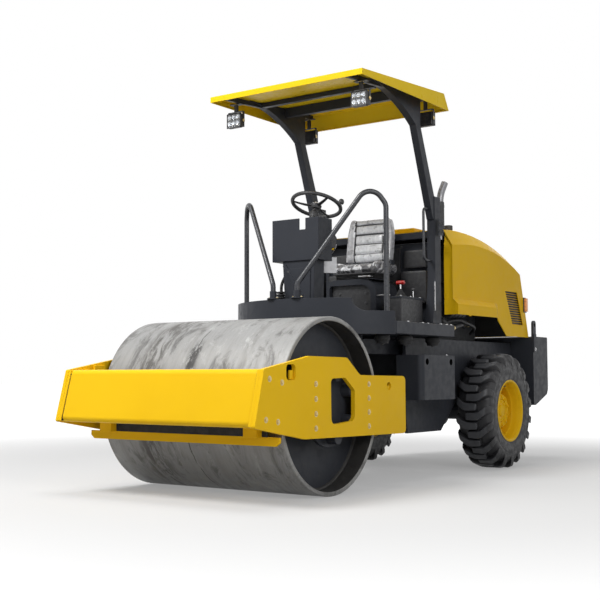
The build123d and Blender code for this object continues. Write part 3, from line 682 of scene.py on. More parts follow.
def make_tyre(name):
    """Carcass with ribbed sidewalls, and two staggered rows of lugs."""
    centre = middle("tyre_" + name)
    half = [(0.112, 0.2085), (0.1185, 0.213), (0.1225, 0.224), (0.1205, 0.231), (0.1235, 0.236),
            (0.1265, 0.252), (0.1285, 0.275), (0.1290, 0.296), (0.1270, 0.302), (0.1270, 0.306),
            (0.1290, 0.312), (0.1280, 0.328), (0.1255, 0.333), (0.1255, 0.337), (0.1235, 0.345),
            (0.114, 0.361), (0.100, 0.371), (0.070, 0.3765), (0.035, 0.3785)]
    outline = half + [(0, 0.379)] + [(-x, r) for x, r in half[::-1]]
    count = 19
    piece("tyre_" + name + "_lugged", "wheel_" + name, [
        (turned(outline, centre, steps=96), RUBBER),
        grown(ROUND, tyre_lug(), RUBBER, Count=count, Phase=0.0, Centre=tuple(centre)),
        grown(ROUND, flipped(tyre_lug()), RUBBER, Count=count, Phase=pi / count, Centre=tuple(centre))],
        ["tyre_" + name], smooth=38)


def make_rim(name, side):
    """Deep rim: rolled flanges, stepped barrel, dished disc with wheel nuts and a hub cover."""
    centre = middle("tyre_" + name)
    flange = [(0.100, 0.2075), (0.113, 0.2080), (0.117, 0.222), (0.1205, 0.2252), (0.1245, 0.222),
              (0.1245, 0.2135), (0.119, 0.2065), (0.111, 0.2035)]
    barrel = flange + [(0.098, 0.199), (0.086, 0.193), (0.060, 0.191), (0.050, 0.184), (-0.030, 0.184),
                       (-0.050, 0.190)] + [(-x, r) for x, r in flange[::-1]]
    face = [(-0.048, 0.185), (-0.033, 0.185), (-0.030, 0.172), (-0.018, 0.156), (-0.006, 0.1275),
            (0.030, 0.1245), (0.046, 0.1225), (0.052, 0.1180), (0.055, 0.1140), (0.055, 0.088),
            (0.050, 0.084), (0.044, 0.084), (0.044, 0.106), (-0.020, 0.112), (-0.048, 0.166)]
    cover = [(0.046, 0.0845), (0.050, 0.080), (0.051, 0.046), (0.058, 0.043), (0.062, 0.036),
             (0.062, 0.0), (0.040, 0.0), (0.040, 0.0845)]
    facing = (side, 0, 0)

    def circle_of(count, out, radius, across):
        angles = [2 * pi * k / count for k in range(count)]
        return bolts([centre + Vector((side * out, radius * sin(a), radius * cos(a))) for a in angles],
                     facing, across, YELLOW)
    valve = [centre + Vector((side * x, 0, z)) for x, z in ((0.045, 0.186), (0.062, 0.180), (0.086, 0.176))]
    piece("rim_" + name + "_finished", "wheel_" + name, [
        (turned(barrel, centre, facing, 96), YELLOW), (turned(face, centre, facing, 72), YELLOW),
        (solid(cover, centre, facing, 48), YELLOW), circle_of(10, 0.0545, 0.101, 0.019),
        circle_of(8, 0.0505, 0.063, 0.011), (pipe(valve, 0.004, 10), IRON)], ["rim_" + name])


# ---- engine hood ----
hood_side = 0.528
hood_tail_side = 0.566
hood_front, hood_rear = hood_low.y, hood_high.y
hood_top = 1.697
hood_shoulder = (hood_rear - 0.150, hood_top - 0.235)
hood_bottom = 1.095
hood_tail_bottom = hood_low.z
flare_end = axle.y + 0.115
arch_start = axle.y + 0.098
arch_end = axle.y + 0.254


def mix(a, b, t):
    return a + (b - a) * max(0.0, min(1.0, t))


def hood_crown(y):
    """Height of the hood's top along its length: an arc from the front to the shoulder, then the tail."""
    (y0, z0), (y2, z2) = (hood_front, hood_top), hood_shoulder
    y1, z1 = hood_front + 0.58, hood_top - 0.042
    if y > y2:
        return mix(z2, hood_tail_bottom, (y - y2) / (hood_rear - y2))
    s0, s1, s2 = y0**2 + z0**2, y1**2 + z1**2, y2**2 + z2**2
    d = 2 * (y0 * (z1 - z2) + y1 * (z2 - z0) + y2 * (z0 - z1))
    cy = (s0 * (z1 - z2) + s1 * (z2 - z0) + s2 * (z0 - z1)) / d
    cz = (s0 * (y2 - y1) + s1 * (y0 - y2) + s2 * (y1 - y0)) / d
    return cz + sqrt((y0 - cy)**2 + (z0 - cz)**2 - (y - cy)**2)


def hood_foot(y):
    """Height of the hood's lower edge, which drops behind the wheel."""
    return mix(hood_bottom, hood_tail_bottom, (y - arch_start) / (arch_end - arch_start))


def hood_section(y):
    """Half of the hood's outline across the machine at one place, from the middle of the top down."""
    side = mix(hood_side, hood_tail_side, (y - hood_front) / (hood_rear - hood_front) * 1.25)
    top, foot = hood_crown(y), hood_foot(y)
    fade = mix(1, 0, (y - hood_front - 0.06) / (hood_shoulder[0] + 0.02 - hood_front))
    bevel_x = 0.004 + 0.060 * fade**0.8
    bevel_z = 0.004 + 0.112 * fade**0.9
    flare = mix(0.040, 0, (y - flare_end + 0.10) / 0.10)
    brow = max(foot + 0.004, min(hood_bottom + 0.112, top - bevel_z - 0.002))
    return [(0.0, top), (side * 0.5, top), (side - bevel_x - 0.010, top), (side - bevel_x, top - 0.004),
            (side - 0.001, top - bevel_z + 0.003), (side, top - bevel_z - 0.004 * fade), (side, brow),
            (side + flare, max(foot + 0.002, brow - 0.040)), (side + flare, foot)]


def lining_section(y):
    """The same for the foam sheet under the hood."""
    drop = mix(0.016, 0.085, (y - hood_shoulder[0] + 0.06) / 0.06)
    return [(x * 0.974, max(z - drop, hood_foot(y) + 0.012)) for x, z in hood_section(y)]


def hood_sheet(stations, section, thickness=0.0):
    """A sheet through sections along the machine."""
    def build(bm):
        rows = []
        for y in stations:
            half = section(y)
            rows.append([bm.verts.new((x, y, z)) for x, z in [(-x, z) for x, z in half[:0:-1]] + half])
        join_rings(bm, rows, around=False)
        if thickness:
            bmesh.ops.recalc_face_normals(bm, faces=bm.faces)
            bmesh.ops.solidify(bm, geom=bm.faces, thickness=thickness)
    return shape(build)


def cut_out(bm, cutter):
    """Takes the cutter's volume out of a closed shape."""
    body, tool = in_scene("body", bm), in_scene("cutter", cutter)
    boolean = body.modifiers.new("cut", "BOOLEAN")
    boolean.object, boolean.solver = tool, "EXACT"
    result = taken(body)
    bpy.data.objects.remove(tool)
    return result


def tail_frame():
    """The hood's sloping tail as a frame: X across, Y outwards, Z up the slope."""
    low, high = Vector((0, hood_rear, hood_tail_bottom)), Vector((0, *hood_shoulder))
    up = (high - low).normalized()
    return framed(LEFT, Vector(LEFT).cross(up) * -1, up, low + (high - low) * 0.56)


def make_hood():
    """Hood sheet with its bevelled top edges, side and tail grilles over near-black sheets of painted shade,
    hatch, cap and latches.
    """
    shoulder, slats = hood_shoulder[0], 14
    top_line, low_line, lean, near, far = 1.307, 1.058, 0.116, 1.334, 1.540
    outline = [(near, top_line), (far, top_line), (far + lean * 0.93, low_line), (near + lean, low_line)]
    stations = [hood_front + d for d in (0, 0.02, 0.06, 0.11, 0.2, 0.3, 0.4, 0.5, 0.58)]
    stations += [flare_end - 0.10, flare_end - 0.05, flare_end, arch_start + 0.001, arch_start + 0.05,
                 arch_start + 0.10, arch_end, arch_end + 0.05, shoulder - 0.08, shoulder]
    stations += [mix(shoulder, hood_rear, t) for t in (0.1, 0.35, 0.7, 0.98)]
    skin = cut_out(hood_sheet(sorted(set(round(y, 4) for y in stations)), hood_section, 0.005),
                   prism(outline, "X", -0.62, 0.62, 0))
    bmesh.ops.dissolve_limit(skin, angle_limit=radians(0.3), verts=skin.verts, edges=skin.edges,
                             delimit={"NORMAL"})
    lining = hood_sheet([mix(hood_front + 0.012, hood_rear - 0.03, k / 24) for k in range(25)],
                        lining_section)
    parts = Parts([(skin, YELLOW), (lining, INSIDE)])
    slat = prism([(0.530, top_line - 0.006), (0.560, top_line - 0.0185), (0.5615, top_line - 0.0165),
                  (0.532, top_line - 0.004)], "Y", near + 0.004, far + 0.012, 0)
    parts.both(YELLOW, in_row(slat, slats, (0, lean / slats, (low_line - top_line) / slats), YELLOW)[0])
    # A near-black sheet behind each side grille: painted shade.
    parts.both(INSIDE, prism(outline, "X", 0.505, 0.510, 0))
    strip, bend, slant = (hood_front + 0.004, hood_front + 0.009, 0.001), 1.533, 0.12
    upper = prism([(0.46, bend), (0.5235, bend), (0.5235, 1.572), (0.462, 1.686), (0.46, 1.688)], "Y", *strip)
    parts.both(YELLOW, prism([(0.46, hood_bottom), (0.566, hood_bottom), (0.566, 1.163), (0.526, 1.204),
                              (0.526, 1.535), (0.46, 1.535)], "Y", *strip),
               placed(upper, framed(LEFT, BACK, (0, slant, 1), (0, -slant * bend, 0))))
    low, high = hood_front + 0.110, hood_front + 0.430
    parts.add(YELLOW, slab((-0.150, 0.170), (low, high), (1.672, 1.745), 0.012))
    parts.add(RUBBER_AND_SHADE, slab((-0.158, 0.178), (low - 0.008, high + 0.008), (1.672, 1.6985), 0.002))
    parts.add(DARK, disc((0.400, 0.717, 1.672), 0.024, 0.040, UP))
    parts.add(IRON, disc((0.400, 0.717, 1.712), 0.031, 0.038, UP, 0.006))
    # The near-black sheet behind the tail grille: painted shade.
    tail = Parts([(slab((-0.37, 0.37), (0.0, 0.004), (-0.15, 0.15), 0.001), INSIDE),
                  in_row(slab((-0.36, 0.36), (0.004, 0.012), (-0.134, -0.126), 0.001), 13, (0, 0, 0.0217),
                         YELLOW)])
    for x, z in (((-0.38, 0.38), (0.14, 0.158)), ((-0.38, 0.38), (-0.158, -0.14)),
                 ((-0.38, -0.36), (-0.15, 0.15)), ((0.36, 0.38), (-0.15, 0.15))):
        tail.add(YELLOW, slab(x, (0.001, 0.014), z, 0.002))
    tail.add(DARK, slab((-0.13, 0.13), (0.001, 0.005), (-0.235, -0.185), 0.002))
    parts += tail.placed(tail_frame())
    parts.both(YELLOW, slab((0.566, 0.574), (0.686, 0.714), (1.088, 1.116), 0.003))
    piece("hood_sheet", "hood", parts, ["hood_shell"], smooth=14)


def make_exhaust():
    """Black sleeve and a bare bent tip, cut open at its end."""
    low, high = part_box("exhaust_stack")
    x, y = low.x + 0.025, low.y + 0.025
    path = smooth_path([(x, y, low.z), (x, y, high.z - 0.105), (x + 0.018, y + 0.040, high.z - 0.010)], 0.075)
    sleeve = solid([(0, 0.0), (0, 0.0275), (0.004, 0.029), (0.208, 0.029), (0.212, 0.0275), (0.214, 0.025)],
                   (x, y, hood_top - 0.012), UP, 32)
    base = disc((x, y, hood_crown(y) - 0.002), 0.045, 0.008, UP, 0.003)
    clamp = turned([(0, 0.0248), (0, 0.0305), (0.018, 0.0305), (0.018, 0.0248)], (x, y, hood_top + 0.160),
                   UP, 32)
    piece("exhaust_finished", "hood",
          [(pipe(path, 0.0245, 28, wall=0.0022), EXHAUST), (sleeve, IRON), (base, DARK), (clamp, IRON)],
          ["exhaust_stack"])


def make_tail_lamps():
    """Amber lens on a black base at each rear corner of the hood."""
    low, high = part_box("tail_lamps")
    skin, rim = hood_tail_side, 0.006
    parts = Parts()
    parts.both(PLASTIC, slab((skin - 0.004, skin + 0.008), (low.y - rim, high.y + rim),
                             (low.z - rim, high.z + rim), 0.004))
    parts.both(AMBER, prism([(skin + rim, low.y), (skin + 0.024, low.y + rim), (skin + 0.024, high.y - rim),
                             (skin + rim, high.y)], "Z", low.z, high.z, 0.004))
    piece("tail_lamps_finished", "hood", parts, ["tail_lamps"])


# ---- roof and its lamps ----
def make_work_lamp(name, x, y_face, z, facing, hang_z):
    """Square work lamp: finned housing, bezel, clear lens over six reflectors, bracket and bolts."""
    def at(along):
        return y_face - facing * along

    def deep(a, b):
        return tuple(sorted((at(a), at(b))))

    def around(reach):
        return x - reach, x + reach
    wide, tall, cut, frame_width, inset = 0.058, 0.049, 0.010, 0.007, 0.008
    w, t = wide - cut, tall - cut
    outline = [(x + a, z + b) for a, b in ((-wide, -t), (-w, -tall), (w, -tall), (wide, -t), (wide, t),
                                           (w, tall), (-w, tall), (-wide, t))]
    parts = Parts([(prism(outline, "Y", *deep(0.006, 0.030), 0.002), PLASTIC)])
    fin = slab((x - wide + inset, x - wide + 0.011), deep(0.028, 0.052),
               (z - tall + inset, z + tall - inset), 0)
    parts.append(in_row(fin, 12, (0.0091, 0, 0), PLASTIC))
    for low, high in ((z + tall - frame_width, z + tall), (z - tall, z - tall + frame_width)):
        parts.add(PLASTIC, slab(around(wide), deep(0, 0.008), (low, high), 0.001))
    for low, high in ((x - wide, x - wide + frame_width), (x + wide - frame_width, x + wide)):
        parts.add(PLASTIC, slab((low, high), deep(0, 0.008), (z - tall, z + tall), 0.001))
    bowl = ((-0.0055, 0.0), (-0.0050, 0.005), (-0.0032, 0.011), (-0.0004, 0.0165), (-0.0052, 0.0165),
            (-0.0060, 0.012))
    for dx in (-0.034, 0.0, 0.034):
        for dz in (-0.020, 0.020):
            parts.add(REFLECTOR, solid(bowl, (x + dx, y_face, z + dz), (0, facing, 0), 20))
            parts.add(WHITE, disc((x + dx, at(0.0052), z + dz), 0.004, 0.003, (0, facing, 0)))
    parts.add(GLASS, slab(around(wide - 0.006), deep(0.0006, 0.0026), (z - tall + 0.006, z + tall - 0.006),
                          0.0006))
    top = z + tall + 0.014
    for side in (1, -1):
        near, far = x + side * (wide + 0.001), x + side * (wide + 0.004)
        parts.add(PLASTIC, slab(sorted((near, far)), deep(0.020, 0.042), (z - 0.012, top), 0.0008))
        parts.append(bolts([(far, at(0.031), z)], (side, 0, 0), 0.013))
    parts.add(PLASTIC, slab(around(wide + 0.004), deep(0.020, 0.042), (top - 0.003, top), 0.0008),
              slab(around(0.012), deep(0.022, 0.040), (top, hang_z), 0.001))
    parts.add(DARK, slab(around(0.048), deep(0.016, 0.060), (hang_z - 0.006, hang_z), 0.002))
    parts.append(bolts([(x, at(0.031), hang_z - 0.006)], DOWN, 0.018))
    piece(name, "chassis", parts, ["work_lamps"])


def roof_under(y):
    """Height of the roof sheet's underside."""
    return 2.523 + 0.0642 * (y + 0.793)


def make_work_lamps():
    """Two lamps under the roof's front and two under its back."""
    low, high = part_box("work_lamps")
    for end, x, y, lift, facing in (("front", 0.490, low.y, 1.372, -1), ("rear", 0.480, high.y, 1.416, 1)):
        for name, side in SIDES:
            make_work_lamp("work_lamp_" + end + "_" + name, side * x, y, floor_z + lift, facing,
                           roof_under(y) - 0.030)


# ---- steering and instruments ----
def column_frame():
    """The steering column as a frame: Z up the column from the wheel's centre."""
    return moved(0, deck_high.y - 0.800, floor_z + 0.786) @ spun(-21.6, "X")


def make_steering_wheel():
    """Grip with finger ribs, three drooping spokes, hub with its cap, and the spinner knob."""
    radius, grip, around, across = 0.162, 0.013, 120, 14

    def rim(bm):
        rows = []
        for k in range(around + 1):
            a = 2 * pi * (k % around) / around
            swell = grip * (1 - 0.05 * (0.5 + 0.5 * cos(a * 40)))
            rows.append([bm.verts.new(((radius + swell * cos(b)) * cos(a), (radius + swell * cos(b)) * sin(a),
                                       swell * sin(b)))
                         for b in [2 * pi * m / across for m in range(across)]])
        join_rings(bm, rows)
    parts = Parts([(shape(rim), PLASTIC)])
    for turn in (90, 210, 330):
        path = [(0.020, 0, -0.016), (0.060, 0, -0.020), (0.110, 0, -0.014), (0.152, 0, -0.002)]
        spoke = pipe(smooth_path(path, 0.02, 4), 0.011, 12, shape_of=lambda t: 0.014 - 0.005 * t)
        parts.add(PLASTIC, placed(spoke, spun(turn, "Z") @ Matrix.Diagonal((1, 1, 0.55, 1))))
    hub = [(-0.030, 0.0), (-0.030, 0.030), (-0.012, 0.036), (-0.004, 0.036), (0.000, 0.033), (0.000, 0.0)]
    cap = [(0.000, 0.030), (0.006, 0.029), (0.011, 0.022), (0.013, 0.0)]
    knob = [(0.010, 0.006), (0.020, 0.006), (0.022, 0.013), (0.028, 0.0185), (0.040, 0.0190), (0.052, 0.015),
            (0.0565, 0.008), (0.0575, 0.0)]
    x, y = radius * cos(radians(20)), radius * sin(radians(20))
    parts.add(PLASTIC, solid(hub, (0, 0, 0), UP, 36), solid(knob, (x, y, 0)))
    parts.add(STEEL, solid(cap, (0, 0, 0), UP, 36), disc((x, y, 0.010), 0.010, 0.008, UP))
    piece("steering_wheel_finished", "handwheel", parts.placed(column_frame()),
          ["steering_wheel"], smooth=40)


def make_column():
    """Column tube with a collar under the wheel and a folded boot where it meets the console."""
    tube = [(-0.405, 0.026), (-0.100, 0.026), (-0.096, 0.030), (-0.075, 0.032), (-0.060, 0.030),
            (-0.052, 0.022), (-0.031, 0.018), (-0.031, 0.0)]
    boot = [(-0.300, 0.050)]
    for fold in range(6):
        along = -0.290 + fold * 0.024
        boot += [(along, 0.052 - fold * 0.003), (along + 0.012, 0.041 - fold * 0.002)]
    parts = Parts([(solid(tube, (0, 0, 0), UP, 32), PLASTIC),
                   (solid(boot + [(-0.140, 0.027)], (0, 0, 0), UP, 32), RUBBER_AND_SHADE)])
    piece("steering_column_finished", "chassis", parts.placed(column_frame()),
          ["steering_column"])


# ---- bolts on the frames ----
def make_bolts():
    """Bolt heads on the side plates, the scraper and the deck, and the counterweight's straps."""
    plate_table = (
        # y from the drum's axle, z
        (-0.687, 0.652), (-0.578, 0.633), (-0.718, 0.447), (-0.614, 0.433),
        (-0.263, 0.624), (-0.263, 0.544), (-0.263, 0.464), (-0.263, 0.387),
        (0.290, 0.620), (0.290, 0.540), (0.290, 0.460), (0.290, 0.380),
    )
    for name, side in SIDES:
        places = [(side * plate_outer, drum.y + y, z) for y, z in plate_table]
        piece("side_plate_bolts_" + name, "front_frame", [bolts(places, (side, 0, 0), 0.0168)])
    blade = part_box("scraper")[0].y + 0.054
    piece("scraper_bolts", "front_frame",
          [bolts([(x, blade, drum.z - 0.172) for x in (-0.523, -0.434, 0.436, 0.512)], FORWARD, 0.022,
                 YELLOW)])
    deck_table = ((0.585, 0.215), (0.585, 0.30), (0.585, 0.365), (0.575, -0.02), (0.56, 0.08), (0.40, 0.335),
                  (0.585, -0.24), (0.54, -0.36))
    piece("deck_bolts", "chassis",
          [bolts([(x, y, floor_z) for x, y in deck_table], UP, 0.015, STEEL, both=True)])
    low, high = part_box("counterweight")
    straps = Parts()
    straps.both(DARK, slab((high.x - 0.002, high.x + 0.006), (low.y + 0.006, low.y + 0.058), (0.850, 0.995),
                           0.004))
    straps.append(bolts([(high.x + 0.006, low.y + 0.032, 0.876)], LEFT, 0.014, STEEL, both=True))
    piece("counterweight_straps", "chassis", straps)


def make_lifting_lugs():
    """Lifting lugs behind the slots of the drum frame, black plates of painted shade seen through the slots,
    and in the tie-down eyes a black disc of painted shade and a pin.
    """
    slot_y, slot_z = drum_front + 0.003, drum.z + 0.187
    eye_y, eye_z = drum.y + drum_radius + 0.023, drum.z + 0.107
    parts = Parts()
    parts.both(YELLOW, slab((0.684, plate_inner + 0.012), (slot_y + 0.006, slot_y + 0.038),
                            (slot_z - 0.038, slot_z + 0.010), 0.003),
               slab((0.668, plate_inner), (slot_y - 0.045, slot_y + 0.048), (slot_z - 0.048, slot_z + 0.042),
                    0.004))
    # Black plate behind each slot and black disc in each tie-down eye: painted shade.
    parts.both(SHADE, slab((plate_inner - 0.001, plate_inner + 0.0015), (slot_y - 0.041, slot_y + 0.041),
                           (slot_z - 0.040, slot_z + 0.040), 0),
               disc((0.671, eye_y, eye_z), 0.036, plate_inner - 0.670))
    parts.both(YELLOW, disc((0.684, eye_y + 0.004, eye_z - 0.009), 0.013, 0.020))
    piece("front_lifting_lugs", "front_frame", parts)


# ---- front frame ----
def eased(points, radii, steps=6):
    """An outline with each of its corners turned to a radius."""
    result = []
    for k, radius in enumerate(radii):
        corner, before, after = (Vector(points[m % len(points)]) for m in (k, k - 1, k + 1))
        u, v = (before - corner).normalized(), (after - corner).normalized()
        half = u.angle(v) / 2
        centre = corner + (u + v).normalized() * radius / sin(half)
        start, end = (corner + way * radius / tan(half) - centre for way in (u, v))
        result += [tuple(centre + start.lerp(end, i / steps).normalized() * radius) for i in range(steps + 1)]
    return result


# The beam's face: the places along the machine of its top and its foot, then their heights.
face_top, face_foot = drum_front - 0.234, drum_front - 0.314
face_high, face_low = drum.z + 0.202, drum.z - 0.092


def on_nose(vert):
    """Whether a point of a side plate lies on the outer edge of the beam's face."""
    x, y, z = vert.co
    line = face_foot + (face_top - face_foot) * (z - face_low) / (face_high - face_low)
    return abs(x) > plate_outer - 1e-4 and abs(y - line) < 0.002


def make_side_plates():
    """Side plates with their front edges rolled over, each with a flange that stands proud of the beam."""
    flange = [(face_foot + 0.001, face_low + 0.005), (face_foot + 0.026, face_low + 0.005),
              (face_top + 0.026, face_high - 0.003), (face_top + 0.001, face_high - 0.003)]
    for name, side in SIDES:
        plate = copied("side_plate_" + name, 0)
        nose = [edge for edge in plate.edges if edge.calc_length() > 0.15 and all(map(on_nose, edge.verts))]
        bmesh.ops.bevel(plate, geom=nose, offset=0.018, segments=5, profile=0.5, affect="EDGES")
        round_edges(plate, 0.004, 2, 28)
        edging = prism(flange, "X", plate_inner - 0.018, plate_inner)
        piece("side_plate_" + name + "_finished", "front_frame",
              [(plate, YELLOW), (edging if side > 0 else flipped(edging), YELLOW)], ["side_plate_" + name])


def make_front_beam():
    """The beam's folded skin, set back between the flanges, with black strips of painted shade in the slot
    over the scraper and along the steps inside the flanges.
    """
    low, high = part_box("front_beam")
    outline = eased([(face_top + 0.008, face_high), (high.y, face_high), (high.y, low.z),
                     (high.y - 0.080, low.z), (face_foot + 0.008, face_low)],
                    (0.036, 0.010, 0.010, 0.010, 0.026))
    step_shade_outline = [(face_foot + 0.0081, face_low + 0.006), (face_foot + 0.030, face_low + 0.006),
           (face_top + 0.030, face_high - 0.020), (face_top + 0.0011, face_high - 0.020)]
    parts = Parts([(prism(outline, "X", -plate_inner, plate_inner, 0), YELLOW)])
    # Black strip between the beam and the scraper: painted shade, in the black rubber finish.
    parts.add(RUBBER_AND_SHADE, slab((-0.60, 0.60), (drum_front - 0.056, drum_front - 0.048),
                          (drum.z - 0.152, low.z + 0.012), 0.002))
    # Thin black strips along the steps inside the flanges: painted shade.
    parts.both(RUBBER_AND_SHADE, prism(step_shade_outline, "X", plate_inner - 0.0210, plate_inner - 0.017, 0))
    piece("front_beam_finished", "front_frame", parts, ["front_beam"])


# ---- operator's deck ----
def make_deck():
    """Deck floor with studded tread strips and post foot plates."""
    parts = Parts([(copied("deck_floor", 0.006, 3), DARK)])
    for side in (1, -1):
        for column in range(5):
            place = (side * (0.255 + 0.045 * column), -0.46 + 0.02 * (column % 2), floor_z - 0.0005)
            parts.append(in_row(disc(place, 0.0075, 0.003, UP, 0.001, 12), 11, (0, 0.040, 0), DARK))
    parts.both(DARK, slab((0.415, 0.560), (post_front - 0.075, deck_high.y - 0.012),
                          (floor_z, floor_z + 0.012)))
    piece("deck_floor_finished", "chassis", parts, ["deck_floor"])


def make_handrails():
    """Bent tube rails with feet, sleeves and end bolts."""
    skirt_z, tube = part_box("deck_skirt")[1].z, 0.0165
    for name, side in SIDES:
        low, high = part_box("handrail_" + name)
        outer_x = (high.x if side > 0 else low.x) - side * tube
        foot_x, foot_y = side * 0.093, low.y + tube
        parts = Parts([(copied("handrail_" + name, 0), GLOSSY)])
        for place, foot, sleeve, tall in (((outer_x, high.y - tube, floor_z), 0.036, 0.021, 0.050),
                                          ((foot_x, foot_y, skirt_z), 0.040, 0.022, 0.045)):
            parts.add(DARK, disc(place, foot, 0.010, UP, 0.003),
                      disc((*place[:2], place[2] + 0.010), sleeve, tall, UP, 0.003))
        parts.append(bolts([(foot_x + dx, foot_y, skirt_z + 0.010) for dx in (-0.030, 0.030)], UP, 0.012))
        piece("handrail_" + name + "_finished", "chassis", parts, ["handrail_" + name],
              smooth=50)


def make_console():
    """Console with its folded rim, front panel, boot with a hose, and a blank card on a wire."""
    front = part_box("console")[0].y
    x, y, z = -0.147, front + 0.055, 1.150
    card_x, card_y = 0.101, -0.402
    parts = Parts([(copied("console", 0.006, 3), DARK)])
    parts.add(DARK, prism([(-0.065, 1.040), (0.105, 1.040), (0.112, 1.355), (-0.085, 1.355)], "Y",
                          front + 0.006, front + 0.013, 0.002),
              prism([(-0.100, 1.372), (-0.080, 1.386), (0.060, 1.180), (0.045, 1.172)], "Y",
                    front + 0.002, front + 0.012, 0.002))
    parts.add(RUBBER_AND_SHADE, *(disc((x, y, z + 0.017 * fold), 0.044 - 0.004 * fold, 0.013, UP, 0.006)
                       for fold in range(4)))
    parts.add(HOSE, pipe(smooth_path([(x, y, z + 0.05), (x, y, z + 0.11), (-0.120, front + 0.075, z + 0.18),
                                      (-0.098, front + 0.10, z + 0.18)], 0.04), 0.010, 12))
    parts.append(bolts([(a, front + 0.006, b) for a in (-0.055, 0.092) for b in (1.060, 1.335)], FORWARD,
                       0.012, IRON))
    wire = [(0.150, -0.398, 1.522), (0.147, card_y, 1.500), (0.110, card_y, 1.452), (0.102, card_y, 1.440)]
    parts.add(STEEL, pipe(smooth_path(wire, 0.01), 0.0022, 8))
    card = prism([(-0.044, -0.050), (0.044, -0.053), (0.046, 0.050), (-0.042, 0.055)], "Y", -0.001, 0.001,
                 0.0004)
    parts.add(CARD, placed(card, moved(card_x, card_y, 1.390) @ spun(30, "Z")))
    piece("console_finished", "chassis", parts, ["console"])


def make_instruments():
    """Instrument housing: sloping face with three dials and four switches."""
    low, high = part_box("instrument_panel")
    share = 0.60    # of the CAD housing's height, so that the console's notch stays open to look through
    case = copied("instrument_panel", 0)
    for vert in case.verts:
        vert.co.z = low.z + (vert.co.z - low.z) * share
    round_edges(case, 0.006, 3, 28)
    top = Vector((0, low.y + 0.058, low.z + (high.z - low.z) * share))
    down = (Vector((0, high.y, top.z - 0.080 * share)) - top).normalized()
    out = Vector(LEFT).cross(down)
    face = framed(LEFT, down, out if out.z >= 0 else -out, top)
    parts, middle_y, lift = Parts(), 0.027, 0.001
    for x, radius in ((-0.060, 0.023), (0.090, 0.023), (0.015, 0.016)):
        centre = (x, middle_y, lift)
        parts.add(STEEL, turned([(0, radius), (0.006, radius), (0.007, radius - 0.002),
                                 (0.004, radius - 0.004), (0, radius - 0.004)], centre, UP, 32))
        parts.add(DIAL, disc(centre, radius - 0.003, 0.003, UP))
        for k in range(9):
            tick = slab((-0.0007, 0.0007), (radius * 0.62, radius * 0.80), (lift + 0.003, lift + 0.0036), 0)
            parts.add(WHITE, placed(tick, moved(x, middle_y, 0) @ spun(-120 + 30 * k, "Z")))
        needle = slab((-0.0009, 0.0009), (-0.004, radius * 0.6), (lift + 0.0036, lift + 0.0044), 0)
        parts.add(RED, placed(needle, moved(x, middle_y, 0) @ spun(70, "Z")))
    for k in range(4):
        x = -0.025 + 0.0225 * k
        parts.add(RUBBER_AND_SHADE, slab((x - 0.008, x + 0.008), (0.054, 0.065), (0, 0.006), 0.002))
    piece("instrument_panel_finished", "chassis", [(case, PLASTIC)] + parts.placed(face),
          ["instrument_panel"])


def block_on(low, high, z_low, z_high, reach=0.0, edge=0.003):
    """A block on a box's plan, grown by a reach, between two heights."""
    return slab((low.x - reach, high.x + reach), (low.y - reach, high.y + reach), (z_low, z_high), edge)


def make_control_box():
    """Lever box with its gaiter, red knob, side lever and cover screws."""
    low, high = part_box("control_box")
    top = floor_z + 0.185
    x, y = low.x + 0.065, low.y + 0.100
    parts = Parts([(block_on(low, high, floor_z, top, edge=0.010), PLASTIC),
                   (block_on(low, high, top - 0.014, top, 0.004), DARK)])
    gaiter = [(0, 0.0), (0, 0.040), (0.006, 0.040)]
    for fold in range(5):
        along = 0.010 + fold * 0.009
        gaiter += [(along, 0.037 - fold * 0.006), (along + 0.0045, 0.030 - fold * 0.0052)]
    parts.add(RUBBER_AND_SHADE, solid(gaiter + [(0.055, 0.008), (0.055, 0.0)], (x, y, top)))
    knob = [(-0.032, 0.0), (-0.032, 0.008), (-0.028, 0.013), (-0.010, 0.0135)]
    parts.add(RED, solid(knob + [(-along, r) for along, r in knob[::-1]], (x, y, top + 0.097), LEFT))
    small_x, small_y = high.x - 0.030, high.y - 0.080
    parts.add(STEEL, pipe([(x, y, top + 0.04), (x, y, top + 0.092)], 0.006, 12),
              pipe([(small_x, small_y, top), (small_x, small_y, top + 0.05)], 0.004, 10))
    parts.add(PLASTIC, solid([(0, 0.0), (0.001, 0.007), (0.010, 0.011), (0.020, 0.009), (0.024, 0.0)],
                             (small_x, small_y, top + 0.045), UP, 20))
    parts.append(bolts([(a, b, top) for a in (low.x + 0.014, high.x - 0.014)
                        for b in (low.y + 0.016, (low.y + high.y) / 2, high.y - 0.016)], UP, 0.013, STEEL))
    piece("control_box_finished", "chassis", parts, ["control_box"])


